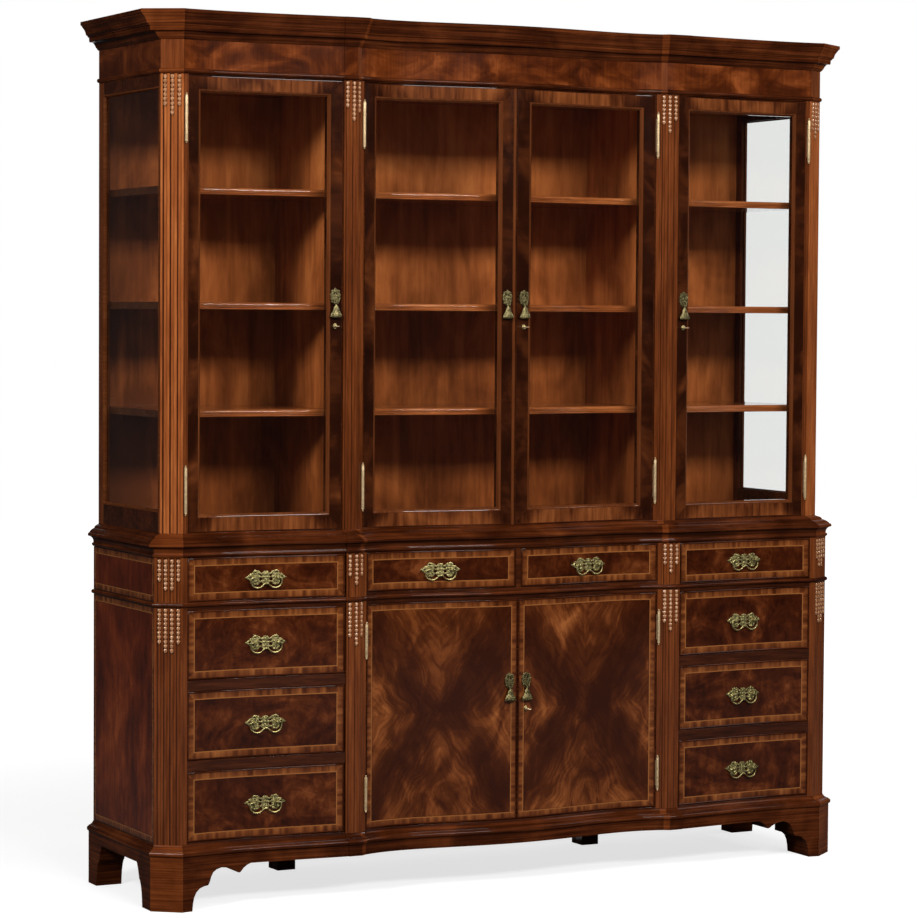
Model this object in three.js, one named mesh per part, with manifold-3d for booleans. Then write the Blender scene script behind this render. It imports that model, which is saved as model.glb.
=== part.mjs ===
// China cabinet: a glazed display case with a serpentine front, on a base of drawers and doors.
// Millimetres, +Z up, +X to the right, the front towards -Y.
// The origin is on the floor at the middle of the cabinet's box.
import * as THREE from 'three';
import { mergeVertices } from 'three/addons/utils/BufferGeometryUtils.js';
import Module from 'manifold-3d';

const wasm = await Module();
wasm.setup();

// Running and fitting clearances
const seatGap = 0.3;
const doorGap = 1.5;
const drawerGap = 1;
const frontClearance = 1.5;
const overrun = 6;

// Heights of the stacked parts, from the floor up
const apronRise = 114;
const plinthFaceHeight = 143;
const plinthBeadHeight = 14;
const plinthCoveHeight = 15;
const sillHeight = 5;
const deepDrawerHeight = 181;
const railHeight = 30;
const midRailHeight = 24;
const topDrawerHeight = 114;
const centreDrawerHeight = 106;
const lowerDoorHeight = 605;
const doorStackHeight = lowerDoorHeight + drawerGap;
const bottomDrawerHeight = doorStackHeight - 2 * (deepDrawerHeight + railHeight);
const waistHeight = 52;
const waistNoseShare = 0.66;
const hutchBaseHeight = 9;
const upperHeight = 1193;
const friezeHeight = 89;
const friezeBeadHeight = 14;
const corniceHeight = 75;

// Widths across the front, from the middle outwards
const centreDoorWidth = 451.2;
const meetingGap = 0.8;
const caseStrip = 12;
const returnWidth = 15;
const pilasterWidth = 38.5;
const wingDoorWidth = 441;
const outerStrip = 13;
const cantWidth = 55;

// Serpentine front of the upper case, as depths from the back
const centreDepth = 479.5;
const wingSetback = 24.3;
const wingDepth = centreDepth - wingSetback;
const sideSetback = 25.2;
const sideDepth = wingDepth - sideSetback;
const wingLean = 14.5;
const wingHollow = 10.9;
const wingTwist = 6.6;
const centreHollow = 106;
const centreReturnShare = 0.85;
const pilasterProud = 3;

// Places across the front, from the middle
const centreDoorEdge = meetingGap + centreDoorWidth;
const returnInner = centreDoorEdge + caseStrip;
const returnOuter = returnInner + returnWidth;
const pilasterOuter = returnOuter + pilasterWidth;
const wingDoorEdge = pilasterOuter + doorGap + wingDoorWidth;
const caseCorner = wingDoorEdge + outerStrip;
const caseSide = caseCorner + cantWidth;
const drawerStile = 2.5;
const muntinHalf = 7.5;
const returnTurnShare = 0.41;

// How far each tier stands outside the upper case: at its side, at the front edge of its
// canted corner, at its front, and along its side
const lowerOut = { side: 17, corner: 5, ahead: 28, flank: 18 };
const footOut = { side: 31, corner: 14, ahead: 51, flank: 30 };
const plinthBeadOut = { side: 36, corner: 16, ahead: 56.5, flank: 33 };
const waistOut = { side: 34, corner: 9, ahead: 42, flank: 25 };
const hutchBaseOut = { side: 14, corner: 3, ahead: 12, flank: 8 };
const corniceOut = { side: 53.5, corner: 3, ahead: 40, flank: 11 };
const tierOf = ({ side, corner, ahead, flank }) => ({
  side: caseSide + side,
  corner: caseCorner + corner,
  ahead,
  flank: sideDepth + flank,
});
const upperTier = tierOf({ side: 0, corner: 0, ahead: 0, flank: 0 });
const lowerTier = tierOf(lowerOut);
const footTier = tierOf(footOut);
const plinthBeadTier = tierOf(plinthBeadOut);
const waistTier = tierOf(waistOut);
const hutchBaseTier = tierOf(hutchBaseOut);
const corniceTier = tierOf(corniceOut);
const drawerEdgeMargin = 11;
const wingDrawerEdge = lowerTier.corner - drawerEdgeMargin;

// Walls and boards
const wall = 22;
const backThickness = 9;
const boardThickness = 20;
const partitionOut = 24;
const partitionPlace = returnInner + partitionOut;
const postDepth = 62;
const cantInset = 14;

// Doors
const doorThickness = 22;
const doorSill = 1;
const doorHead = 2;
const stileWidth = 43;
const meetingStileWidth = 50;
const topRailWidth = 43;
const bottomRailWidth = 48;
const paneThickness = 4;
const paneInset = 9;
const astragalWidth = 9;
const astragalProud = 4;

// Side windows
const windowBack = 36;
const windowFrontMargin = 18;
const windowSill = 58;
const windowHead = 36;

// Shelves
const shelfThickness = 19;
const shelfSetback = 72;
const shelfTopShares = [0.268, 0.506, 0.759];
const lowerShelfShare = 0.5;

// Drawers
const drawerFrontThickness = 22;
const drawerWall = 10;
const drawerFloor = 8;
const drawerSideInset = 6;
const drawerTopInset = 14;
const drawerBackDepth = 50;

// Drawer pulls
const plateWidth = 118;
const plateHeight = 42;
const plateThickness = 3;
const plateSink = 1.5;
const postSpacing = 66;
const postRadius = 3.4;
const postReach = 12;
const bailForward = 8.5;
const bailRadius = 2;
const bailSpan = 88;
const bailDrop = 27;
const plateOutlineShares = [
  [0, 0.84], [0.12, 1], [0.26, 0.78], [0.64, 1], [0.84, 0.5], [1, 0.04], [0.84, -0.2],
  [0.62, -1], [0.36, -0.8], [0.16, -0.96],
];
const plateHoleShares = [[[0.16, 0.1], [0.24, -0.36], [0.34, 0.06], [0.26, 0.46]]];
const bailShares = [
  [0.93, -0.04], [1, -0.34], [0.9, -0.78], [0.66, -1], [0.34, -0.94], [0.12, -0.62], [0, -0.56],
];

// Door handles
const handleWidth = 31;
const handleHeight = 46;
const handleThickness = 3;
const handleInset = 26;
const upperHandleRise = 619;
const lowerHandleDrop = 224;
const pivotDropShare = 0.36;
const pivotForward = 8;
const knuckleRadius = 2.6;
const knuckleWidth = 6;
const cheekWidth = 2.5;
const cheekHeight = 8;
const cheekReach = 11;
const dropLength = 40;
const dropWidth = 34;
const dropThickness = 13;
const handleOutlineShares = [
  [0, 1], [0.3, 0.86], [0.62, 0.74], [0.7, 0.5], [1, 0.3], [0.82, 0.02],
  [0.94, -0.3], [0.7, -0.62], [0.4, -0.8], [0.2, -1],
];
const handleHoleShares = [[0.2, 0.1], [0.5, -0.06], [0.56, 0.3], [0.3, 0.5]];
const dropProfileShares = [
  [0.16, 0.03], [0.14, 0.12], [0.42, 0.26], [0.5, 0.46], [0.84, 0.74], [1, 0.9], [0.5, 1],
];

// Keys
const keyDrop = 78;
const keyRadius = 2.6;
const keyBore = 3.1;
const keyBoreDepth = 13;
const keyClearance = 1;
const keyBowPlace = 17;
const keyBowLength = 18;
const keyBowWidth = 12;
const keyBowThickness = 2.6;
const keyHoleShare = 0.5;

// Hinges
const barrelRadius = 4.2;
const barrelForward = 4.7;
const barrelOut = 3;
const upperBarrelLength = 131;
const lowerBarrelLength = 101;
const hingeMargin = 46;
const leafBite = 1;
const leafDepth = 18;
const leafShare = 0.7;
const barrelProfileShares = [
  [0, 0], [0.62, 0.03], [0.45, 0.06], [1, 0.08], [1, 0.94], [0.6, 0.98], [0, 1],
];

// Pilaster flutes
const fluteWidth = 8.5;
const fluteDepth = 2.2;
const fluteFloorShare = 0.45;
const fluteMargin = 8;
const cantFluteShares = [0.14, 0.38, 0.62, 0.86];
const pilasterFluteShares = [0.27, 0.75];
const returnFluteShare = 0.5;

// Feet and mouldings
const frontFootWidth = 99;
const frontFootInner = footTier.side - frontFootWidth;
const frontFootDepth = 62;
const rearFootWidth = 76;
const rearFootDepth = 60;
const centreFootPlace = partitionPlace;
const centreFootWidth = 55;
const bracketLength = 168;
const sideBracketLength = 40;
const midBeadHeight = 12;
const midBeadDrop = 14;
const midBeadSwell = 7;
const friezeBeadSwell = 6;
const bracketShares = [
  [0, 0], [0.02, 0.28], [0.08, 0.45], [0.167, 0.54], [0.286, 0.58], [0.33, 0.74], [0.39, 0.88],
  [0.5, 0.95], [0.65, 0.91], [0.76, 0.82], [0.85, 0.8], [0.93, 0.88], [1, 1],
];
const sideBracketShares = [[0, 0], [0.1, 0.35], [0.35, 0.6], [0.6, 0.7], [0.8, 0.88], [1, 1]];
const beadShares = [[0, 0], [0.2, 0.7], [0.5, 1], [0.8, 0.7], [1, 0]];
const coveShares = [[0.2, 0.3], [0.6, 0.85], [1, 1]];
const waistRiseShares = [
  [0, 0], [0.1, 0.3], [0.24, 0.34], [0.38, 0.02], [0.6, 0.2], [0.76, 0.6], [0.82, 1], [1, 1],
];
const waistFallShares = [[0.25, 0.18], [0.7, 0.84], [1, 1]];
const hutchBaseShares = [[0, 0], [0.4, 0.3], [1, 1]];
const corniceShares = [
  [0, 0], [0.04, 0.12], [0.16, 0.2], [0.27, 0.36], [0.31, 0.53], [0.5, 0.6], [0.54, 0.7],
  [0.76, 0.82], [0.88, 1], [1, 1],
];

// Counts of facets
const centreSteps = 7;
const wingSteps = 5;
const edgeCrowding = 1.5;
const barrelSides = 8;
const dropSides = 8;
const bailSides = 5;
const bailSteps = 12;
const postSides = 6;
const boreSides = 10;

// Heights worked out from the stack
const plinthTop = plinthFaceHeight + plinthBeadHeight + plinthCoveHeight;
const drawerHeights = [bottomDrawerHeight, deepDrawerHeight, deepDrawerHeight, topDrawerHeight];
const railHeights = [railHeight, railHeight, midRailHeight, drawerGap];
const drawerBottoms = [];
let drawerRise = plinthTop + sillHeight;
drawerHeights.forEach((height, tier) => {
  drawerBottoms.push(drawerRise);
  drawerRise += height + railHeights[tier];
});
const lowerTop = drawerRise;
const topDrawerTop = lowerTop - drawerGap;
const midRailTop = topDrawerTop - topDrawerHeight;
const deckTop = lowerTop + waistHeight;
const upperBottom = deckTop + hutchBaseHeight;
const upperTop = upperBottom + upperHeight;
const friezeTop = upperTop + friezeHeight;
const cabinetTop = friezeTop + corniceHeight;
const lowerDoorBottom = plinthTop + sillHeight;
const lowerDoorTop = lowerDoorBottom + lowerDoorHeight;
const upperDoorBottom = upperBottom + doorSill;
const upperDoorTop = upperTop - doorHead;
const lowerFloor = lowerDoorBottom - drawerGap;

// Depth of the serpentine front, at any place across the upper case
const wingMiddle = (pilasterOuter + wingDoorEdge) / 2;
const wingHalf = (wingDoorEdge - pilasterOuter) / 2;
const wingFront = (place) => {
  const u = (place - wingMiddle) / wingHalf;
  return wingDepth - wingLean * u + wingHollow * u ** 2 + wingTwist * u ** 3;
};
const centreFront = (place) => {
  const s = place / centreDoorEdge;
  return centreDepth - centreHollow * (s ** 2 - centreReturnShare * s ** 4);
};

// The curve is built of facets that meet at these places, the same for every tier
const centreBreaks = Array.from({ length: centreSteps + 1 }, (_, i) =>
  returnInner * (1 - (1 - i / centreSteps) ** edgeCrowding));
const wingBreaks = Array.from({ length: wingSteps + 1 }, (_, i) =>
  pilasterOuter + (wingDoorEdge - pilasterOuter) * i / wingSteps);
const faceted = (curve, breaks, place) => {
  const next = breaks.findIndex((end) => end >= place);
  if (next < 1) return curve(place);
  const low = breaks[next - 1];
  const high = breaks[next];
  return curve(low) + (curve(high) - curve(low)) * (place - low) / (high - low);
};
const frontDepth = (x) => {
  const place = Math.abs(x);
  if (place < returnOuter) return faceted(centreFront, centreBreaks, place);
  return faceted(wingFront, wingBreaks, place);
};
const frontTurn = (x) => {
  const slope = (frontDepth(x + overrun) - frontDepth(x - overrun)) / (overrun + overrun);
  return -Math.atan(slope);
};
const pilasterFront = wingFront(pilasterOuter) + pilasterProud;

// The back plane, and a depth in front of everything
const back = (centreDepth + plinthBeadTier.ahead) / 2;
const farDepth = centreDepth + plinthBeadTier.ahead + wall;

// Solid from a closed geometry, and back again
const solid = (geometry) => {
  const bare = geometry.clone();
  bare.deleteAttribute('normal');
  bare.deleteAttribute('uv');
  const merged = mergeVertices(bare);
  return new wasm.Manifold(new wasm.Mesh({
    numProp: 3,
    vertProperties: new Float32Array(merged.attributes.position.array),
    triVerts: new Uint32Array(merged.index.array),
  }));
};
const geometryOf = (manifold) => {
  const mesh = manifold.getMesh();
  const geometry = new THREE.BufferGeometry();
  geometry.setAttribute('position', new THREE.BufferAttribute(mesh.vertProperties, mesh.numProp));
  geometry.setIndex(new THREE.BufferAttribute(mesh.triVerts, 1));
  geometry.computeVertexNormals();
  return geometry;
};
const joined = (solids) => solids.reduce((sum, next) => sum.add(next));
const cut = (body, tools) => tools.reduce((rest, tool) => rest.subtract(tool), body);
const mirrored = (points) => points.map(([x, y]) => [-x, y]);
const sided = (points, sign) => (sign < 0 ? mirrored(points) : points);
const shapeOf = (points) => new THREE.Shape(points.map(([x, y]) => new THREE.Vector2(x, y)));
const extruded = (shape, depth) =>
  new THREE.ExtrudeGeometry(shape, { depth, bevelEnabled: false });

// Plan outline [across, depth from the back], raised between two heights
const planPrism = (points, bottom, top) => {
  const plan = shapeOf(points.map(([x, depth]) => [x, back - depth]));
  return solid(extruded(plan, top - bottom).translate(0, 0, bottom));
};

// Front outline [across, height], run between two depths
const frontPrism = (points, nearDepth, deepDepth) => {
  const geometry = extruded(shapeOf(points), deepDepth - nearDepth).rotateX(Math.PI / 2);
  return solid(geometry.translate(0, back - nearDepth, 0));
};

// Side outline [depth, height], run between two places across
const sideAxes = new THREE.Matrix4().makeBasis(
  new THREE.Vector3(0, 1, 0), new THREE.Vector3(0, 0, 1), new THREE.Vector3(1, 0, 0));
const sidePrism = (points, left, right) => {
  const outline = shapeOf(points.map(([depth, z]) => [back - depth, z]));
  return solid(extruded(outline, right - left).applyMatrix4(sideAxes).translate(left, 0, 0));
};

const block = (x0, x1, depth0, depth1, z0, z1) =>
  planPrism([[x0, depth0], [x1, depth0], [x1, depth1], [x0, depth1]], z0, z1);

// Whole plan outline of a tier, counterclockwise from above
const planOutline = ({ side, corner, ahead, flank, rear = 0 }, carcassAhead) => {
  const shift = (ahead - carcassAhead) * returnTurnShare;
  const half = [];
  centreBreaks.slice(1, -1).forEach((x) => half.push([x, centreFront(x) + ahead]));
  half.push([returnInner - shift, frontDepth(returnInner - shift) + ahead]);
  half.push([returnOuter - shift, pilasterFront + ahead]);
  half.push([pilasterOuter, pilasterFront + ahead]);
  wingBreaks.slice(1).forEach((x) => half.push([x, wingFront(x) + ahead]));
  half.push([corner, wingFront(corner) + ahead]);
  half.push([side, flank]);
  half.push([side, rear]);
  return [...mirrored(half).reverse(), [0, centreDepth + ahead], ...half];
};
const inset = ({ side, corner, ahead, flank }, rear) => ({
  rear,
  side: side - wall,
  corner: corner - cantInset,
  ahead: ahead - wall,
  flank: flank - cantInset,
});
const swollen = ({ side, corner, ahead, flank }, swell) => ({
  side: side + swell,
  corner,
  ahead: ahead + swell,
  flank,
});

// Loft through outlines that have the same count of points
const loft = (levels) => {
  const count = levels[0].points.length;
  const positions = levels.flatMap(({ points, z }) => points.flatMap(([x, d]) => [x, back - d, z]));
  const index = [];
  for (let level = 1; level < levels.length; level++) {
    const low = (level - 1) * count;
    const high = level * count;
    for (let i = 0; i < count; i++) {
      const next = (i + 1) % count;
      index.push(low + i, low + next, high + next, low + i, high + next, high + i);
    }
  }
  const capOf = ({ points }) => THREE.ShapeUtils.triangulateShape(
    points.map(([x, d]) => new THREE.Vector2(x, back - d)), []);
  const last = (levels.length - 1) * count;
  capOf(levels[0]).forEach(([p, q, r]) => index.push(p, r, q));
  capOf(levels.at(-1)).forEach(([p, q, r]) => index.push(last + p, last + q, last + r));
  const geometry = new THREE.BufferGeometry();
  geometry.setAttribute('position', new THREE.Float32BufferAttribute(positions, 3));
  geometry.setIndex(index);
  return solid(geometry);
};

// Moulding levels from one tier towards another, by shares of the rise and of the way out
const moulding = (from, to, bottom, top, shares, carcassAhead) =>
  shares.map(([rise, out]) => {
    const tier = {};
    for (const key of Object.keys(from)) {
      tier[key] = from[key] + (to[key] - from[key]) * out;
    }
    return { z: bottom + (top - bottom) * rise, points: planOutline(tier, carcassAhead) };
  });
const plainLevel = (tier, z) => ({ z, points: planOutline(tier, tier.ahead) });

// Line that follows the front between two places, at an offset from the upper face
const halfBreaks = [...centreBreaks, ...wingBreaks];
const allBreaks = [...halfBreaks.slice(1).map((x) => -x).reverse(), ...halfBreaks];
const frontLine = (x0, x1, offset) => {
  const inner = allBreaks.filter((x) => x > x0 + seatGap && x < x1 - seatGap);
  return [x0, ...inner, x1].map((x) => [x, frontDepth(x) + offset]);
};
const frontStrip = (x0, x1, outer, inner) =>
  [...frontLine(x0, x1, outer), ...frontLine(x0, x1, inner).reverse()];

// Groove along a pilaster, mouth on the line between two plan points
const flute = (from, to, share, bottom, top) => {
  const start = new THREE.Vector2(...from);
  const along = new THREE.Vector2(...to).sub(start);
  const middle = start.clone().addScaledVector(along, share);
  along.normalize();
  const inward = new THREE.Vector2(along.y, -along.x);
  if (inward.y > 0) inward.negate();
  const point = (run, sink) => {
    const place = middle.clone().addScaledVector(along, run).addScaledVector(inward, sink);
    return [place.x, place.y];
  };
  const mouth = fluteWidth / 2;
  const floor = mouth * fluteFloorShare;
  return planPrism([
    point(-mouth, 0), point(-mouth, -fluteDepth), point(mouth, -fluteDepth),
    point(mouth, 0), point(floor, fluteDepth), point(-floor, fluteDepth),
  ], bottom, top);
};
const tierFlutes = (tier, bottom, top) => [-1, 1].flatMap((sign) => {
  const low = bottom + fluteMargin;
  const high = top - fluteMargin;
  const cantStart = [sign * tier.corner, wingFront(tier.corner) + tier.ahead];
  const cantEnd = [sign * tier.side, tier.flank];
  const returnStart = [sign * returnInner, centreFront(returnInner) + tier.ahead];
  const faceStart = [sign * returnOuter, pilasterFront + tier.ahead];
  const faceEnd = [sign * pilasterOuter, pilasterFront + tier.ahead];
  return [
    ...cantFluteShares.map((share) => flute(cantStart, cantEnd, share, low, high)),
    ...pilasterFluteShares.map((share) => flute(faceStart, faceEnd, share, low, high)),
    flute(returnStart, faceStart, returnFluteShare, low, high),
  ];
});

// Plans of the spaces behind the front of one wing and behind the centre
const wingSpace = (tier, innerEdge, outerEdge) => {
  const innerSide = tier.side - wall;
  const postBack = pilasterFront + tier.ahead - postDepth;
  const cornerDepth = wingFront(outerEdge) + tier.ahead - doorThickness - frontClearance;
  return [
    [partitionPlace + wall, backThickness], [innerSide, backThickness],
    [innerSide, tier.flank - cantInset], [outerEdge, cornerDepth], [outerEdge, farDepth],
    [innerEdge, farDepth], [innerEdge, postBack], [partitionPlace + wall, postBack],
  ];
};
const centreSpace = (tier, innerEdge) => {
  const postBack = pilasterFront + tier.ahead - postDepth;
  const edge = centreDoorEdge + doorGap;
  return [
    [innerEdge, backThickness], [partitionPlace, backThickness], [partitionPlace, postBack],
    [edge, postBack], [edge, farDepth], [innerEdge, farDepth],
  ];
};
const wholeCentreSpace = (tier) => {
  const half = centreSpace(tier, 0).slice(1, -1);
  return [...mirrored(half).reverse(), ...half];
};

// Space that a door or drawer front fills, open to the front
const frontPocket = (x0, x1, ahead) => {
  const rear = frontLine(x0, x1, ahead - doorThickness - frontClearance).reverse();
  return [[x0, farDepth], [x1, farDepth], ...rear];
};

// Plinth with its bead, bracket feet and rear feet
const plinth = () => {
  const hull = loft([
    plainLevel(footTier, 0),
    ...moulding(footTier, plinthBeadTier, plinthFaceHeight, plinthFaceHeight + plinthBeadHeight,
      beadShares, footTier.ahead),
    ...moulding(footTier, lowerTier, plinthFaceHeight + plinthBeadHeight, plinthTop,
      coveShares, lowerTier.ahead),
  ]);
  const hollowTop = plinthTop - wall;
  const inside = inset(footTier, 0);
  const hollow = loft([plainLevel(inside, -overrun), plainLevel(inside, hollowTop)]);
  const blocks = [-1, 1].flatMap((sign) => {
    const span = (x0, x1) => [Math.min(sign * x0, sign * x1), Math.max(sign * x0, sign * x1)];
    const centreFoot = span(centreFootPlace - centreFootWidth / 2, centreFootPlace + centreFootWidth / 2);
    return [
      block(...span(frontFootInner, footTier.side), footTier.flank - frontFootDepth, farDepth,
        0, plinthTop - overrun),
      block(...span(footTier.side - rearFootWidth, footTier.side), 0, rearFootDepth,
        0, plinthTop - overrun),
      block(...centreFoot, 0, rearFootDepth, 0, plinthTop - overrun),
    ];
  });
  const rail = block(-footTier.side, footTier.side, 0, wall, apronRise, plinthTop - overrun);
  const scroll = bracketShares.map(([run, rise]) =>
    [frontFootInner - bracketLength * run, apronRise * rise]);
  const frontCut = [
    [-frontFootInner, -overrun], ...mirrored(scroll), ...[...scroll].reverse(),
    [frontFootInner, -overrun],
  ];
  const rearScroll = sideBracketShares.map(([run, rise]) =>
    [rearFootDepth + sideBracketLength * run, apronRise * rise]);
  const footFront = footTier.flank - frontFootDepth;
  const frontScroll = sideBracketShares.map(([run, rise]) =>
    [footFront - sideBracketLength * run, apronRise * rise]);
  const sideCut = [
    [rearFootDepth, -overrun], ...rearScroll, ...frontScroll.reverse(), [footFront, -overrun],
  ];
  const body = joined([hull.subtract(hollow), ...[...blocks, rail].map((b) => b.intersect(hull))]);
  return cut(body, [
    frontPrism(frontCut, footFront - overrun, farDepth),
    sidePrism(sideCut, -farDepth - farDepth, farDepth + farDepth),
  ]);
};

// Lower case: sides, partitions, rails, pilasters and the bead under the top drawers
const lowerCase = () => {
  const beadBottom = midRailTop - midBeadDrop;
  const hull = loft([
    plainLevel(lowerTier, plinthTop),
    ...moulding(lowerTier, swollen(lowerTier, midBeadSwell), beadBottom,
      beadBottom + midBeadHeight, beadShares, lowerTier.ahead),
    plainLevel(lowerTier, lowerTop),
  ]);
  const innerSide = lowerTier.side - wall;
  const recess = block(-innerSide, innerSide, -overrun, backThickness, lowerFloor, lowerTop + overrun);
  const wing = wingSpace(lowerTier, pilasterOuter + drawerStile, wingDrawerEdge + drawerGap);
  const wingTiers = [-1, 1].flatMap((sign) => drawerBottoms.map((bottom, tier) => {
    const top = bottom + drawerHeights[tier] + drawerGap;
    return planPrism(sided(wing, sign), bottom - drawerGap, top === lowerTop ? top + overrun : top);
  }));
  const centreDrawerBottom = topDrawerTop - centreDrawerHeight - drawerGap;
  const centreTiers = [-1, 1].map((sign) => planPrism(
    sided(centreSpace(lowerTier, muntinHalf), sign), centreDrawerBottom, lowerTop + overrun));
  const cupboard = planPrism(wholeCentreSpace(lowerTier), lowerFloor, lowerDoorTop + drawerGap);
  return cut(hull, [
    recess, ...wingTiers, ...centreTiers, cupboard,
    ...tierFlutes(lowerTier, plinthTop, beadBottom),
    ...tierFlutes(lowerTier, beadBottom + midBeadHeight, lowerTop),
  ]);
};

// Waist: the base's top with its nose, open below inside its rim
const baseTop = () => {
  const nose = lowerTop + waistHeight * waistNoseShare;
  const board = loft([
    ...moulding(lowerTier, waistTier, lowerTop, nose, waistRiseShares, lowerTier.ahead),
    ...moulding(waistTier, hutchBaseTier, nose, deckTop, waistFallShares, lowerTier.ahead),
  ]);
  const underside = deckTop - boardThickness - hutchBaseHeight;
  const inside = inset(lowerTier, backThickness);
  return board.subtract(loft([
    plainLevel(inside, lowerTop - overrun), plainLevel(inside, underside),
  ]));
};

// Upper case: base moulding, sides with their windows, partitions, pilasters and boards
const upperCase = () => {
  const hull = loft([
    ...moulding(hutchBaseTier, upperTier, deckTop, upperBottom, hutchBaseShares, upperTier.ahead),
    plainLevel(upperTier, upperTop),
  ]);
  const innerSide = upperTier.side - wall;
  const floor = upperBottom + boardThickness;
  const ceiling = upperTop - boardThickness;
  const recess = block(-innerSide, innerSide, -overrun, backThickness, floor, ceiling);
  const outerEdge = wingDoorEdge + doorGap;
  const centreEdge = centreDoorEdge + doorGap;
  const wing = wingSpace(upperTier, pilasterOuter, outerEdge);
  const wings = [-1, 1].flatMap((sign) => [
    planPrism(sided(wing, sign), floor, ceiling),
    planPrism(sided(frontPocket(pilasterOuter, outerEdge, upperTier.ahead), sign),
      upperBottom, upperTop + overrun),
  ]);
  const centre = [
    planPrism(wholeCentreSpace(upperTier), floor, ceiling),
    planPrism(frontPocket(-centreEdge, centreEdge, upperTier.ahead), upperBottom, upperTop + overrun),
  ];
  const window = block(-upperTier.side - wall, upperTier.side + wall, windowBack,
    upperTier.flank - windowFrontMargin, upperBottom + windowSill, upperTop - windowHead);
  const partitions = block(-innerSide + seatGap, innerSide - seatGap, 0, farDepth, 0, cabinetTop);
  return cut(hull, [
    recess, ...wings, ...centre, window.subtract(partitions),
    ...tierFlutes(upperTier, upperBottom, upperTop),
  ]);
};

// Frieze with its bead and the cornice over it, hollow from below
const cornice = () => {
  const head = loft([
    ...moulding(upperTier, swollen(upperTier, friezeBeadSwell), upperTop,
      upperTop + friezeBeadHeight, beadShares, upperTier.ahead),
    ...moulding(upperTier, corniceTier, friezeTop, cabinetTop, corniceShares, upperTier.ahead),
  ]);
  const ceiling = cabinetTop - boardThickness;
  const inside = inset(upperTier, backThickness);
  return head.subtract(loft([
    plainLevel(inside, upperTop - overrun), plainLevel(inside, ceiling),
  ]));
};

const backPanel = (tier, bottom, top) => {
  const innerSide = tier.side - wall;
  return block(-innerSide, innerSide, 0, backThickness, bottom, top);
};

// Shelf with a front that follows the cabinet's
const shelf = (x0, x1, ahead, top) => {
  const front = frontLine(x0, x1, ahead - shelfSetback);
  return planPrism([[x1, backThickness], [x0, backThickness], ...front], top - shelfThickness, top);
};

// Pierced ornamental plate, standing on the face of a front at the origin
const platePrism = (width, height, outline, holes, thickness) => {
  const point = ([x, z]) => new THREE.Vector2(x * width / 2, z * height / 2);
  const left = mirrored(outline.filter(([x]) => x > 0)).reverse();
  const shape = new THREE.Shape([...outline, ...left].reverse().map(point));
  const pierced = holes.flatMap((hole) => [hole, mirrored(hole)]);
  pierced.forEach((hole) => shape.holes.push(new THREE.Path(hole.map(point))));
  return extruded(shape, thickness).rotateX(Math.PI / 2).translate(0, plateSink, 0);
};
const pegAlongDepth = (radius, sides, from, to) =>
  new THREE.CylinderGeometry(radius, radius, to - from, sides).translate(0, -(from + to) / 2, 0);

// Places a fitting on the front: across, offset ahead of the upper face, height
const ontoFront = (geometry, x, ahead, z) =>
  geometry.rotateZ(frontTurn(x)).translate(x, back - frontDepth(x) - ahead, z);

// Drawer: curved front, open box behind it, and the plate and posts of its pull
const drawer = (x0, x1, bottom, height) => {
  const ahead = lowerTier.ahead;
  const middle = (x0 + x1) / 2;
  const front = planPrism(frontStrip(x0, x1, ahead, ahead - drawerFrontThickness),
    bottom, bottom + height);
  const left = x0 + drawerSideInset;
  const right = x1 - drawerSideInset;
  const boxBottom = bottom - drawerGap + seatGap;
  const boxTop = bottom + height - drawerTopInset;
  const box = block(left, right, drawerBackDepth, farDepth, boxBottom, boxTop);
  const inside = block(left + drawerWall, right - drawerWall, drawerBackDepth + drawerWall, farDepth,
    boxBottom + drawerFloor, boxTop + overrun);
  const behind = frontLine(x0, x1, ahead - drawerFrontThickness / 2);
  const reach = planPrism([[x1, 0], [x0, 0], ...behind], 0, cabinetTop);
  const rise = bottom + height / 2;
  const plate = platePrism(plateWidth, plateHeight, plateOutlineShares, plateHoleShares, plateThickness);
  const posts = [-1, 1].map((sign) => pegAlongDepth(postRadius, postSides, -plateSink, postReach)
    .translate(sign * postSpacing / 2, 0, 0));
  const pull = [plate, ...posts].map((geometry) => solid(ontoFront(geometry, middle, ahead, rise)));
  return joined([front, box.subtract(inside).intersect(reach), ...pull]);
};

// Bail of a pull: a bow that hangs from the posts, its ends against their outer sides
const bailGeometry = () => {
  const start = postSpacing / 2 + postRadius + seatGap;
  const half = bailShares.map(([x, z]) =>
    new THREE.Vector3(x * bailSpan / 2, 0, z * bailDrop));
  const right = [new THREE.Vector3(start, 0, 0), ...half];
  const left = right.slice(0, -1).map(({ x, z }) => new THREE.Vector3(-x, 0, z)).reverse();
  const path = new THREE.CatmullRomCurve3([...right, ...left], false, 'centripetal');
  const ring = Array.from({ length: bailSides }, (_, i) => {
    const angle = Math.PI * 2 * i / bailSides;
    return [Math.cos(angle) * bailRadius, Math.sin(angle) * bailRadius];
  });
  const settings = { steps: bailSteps, bevelEnabled: false, extrudePath: path };
  return geometryOf(solid(new THREE.ExtrudeGeometry(shapeOf(ring), settings)));
};

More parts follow.
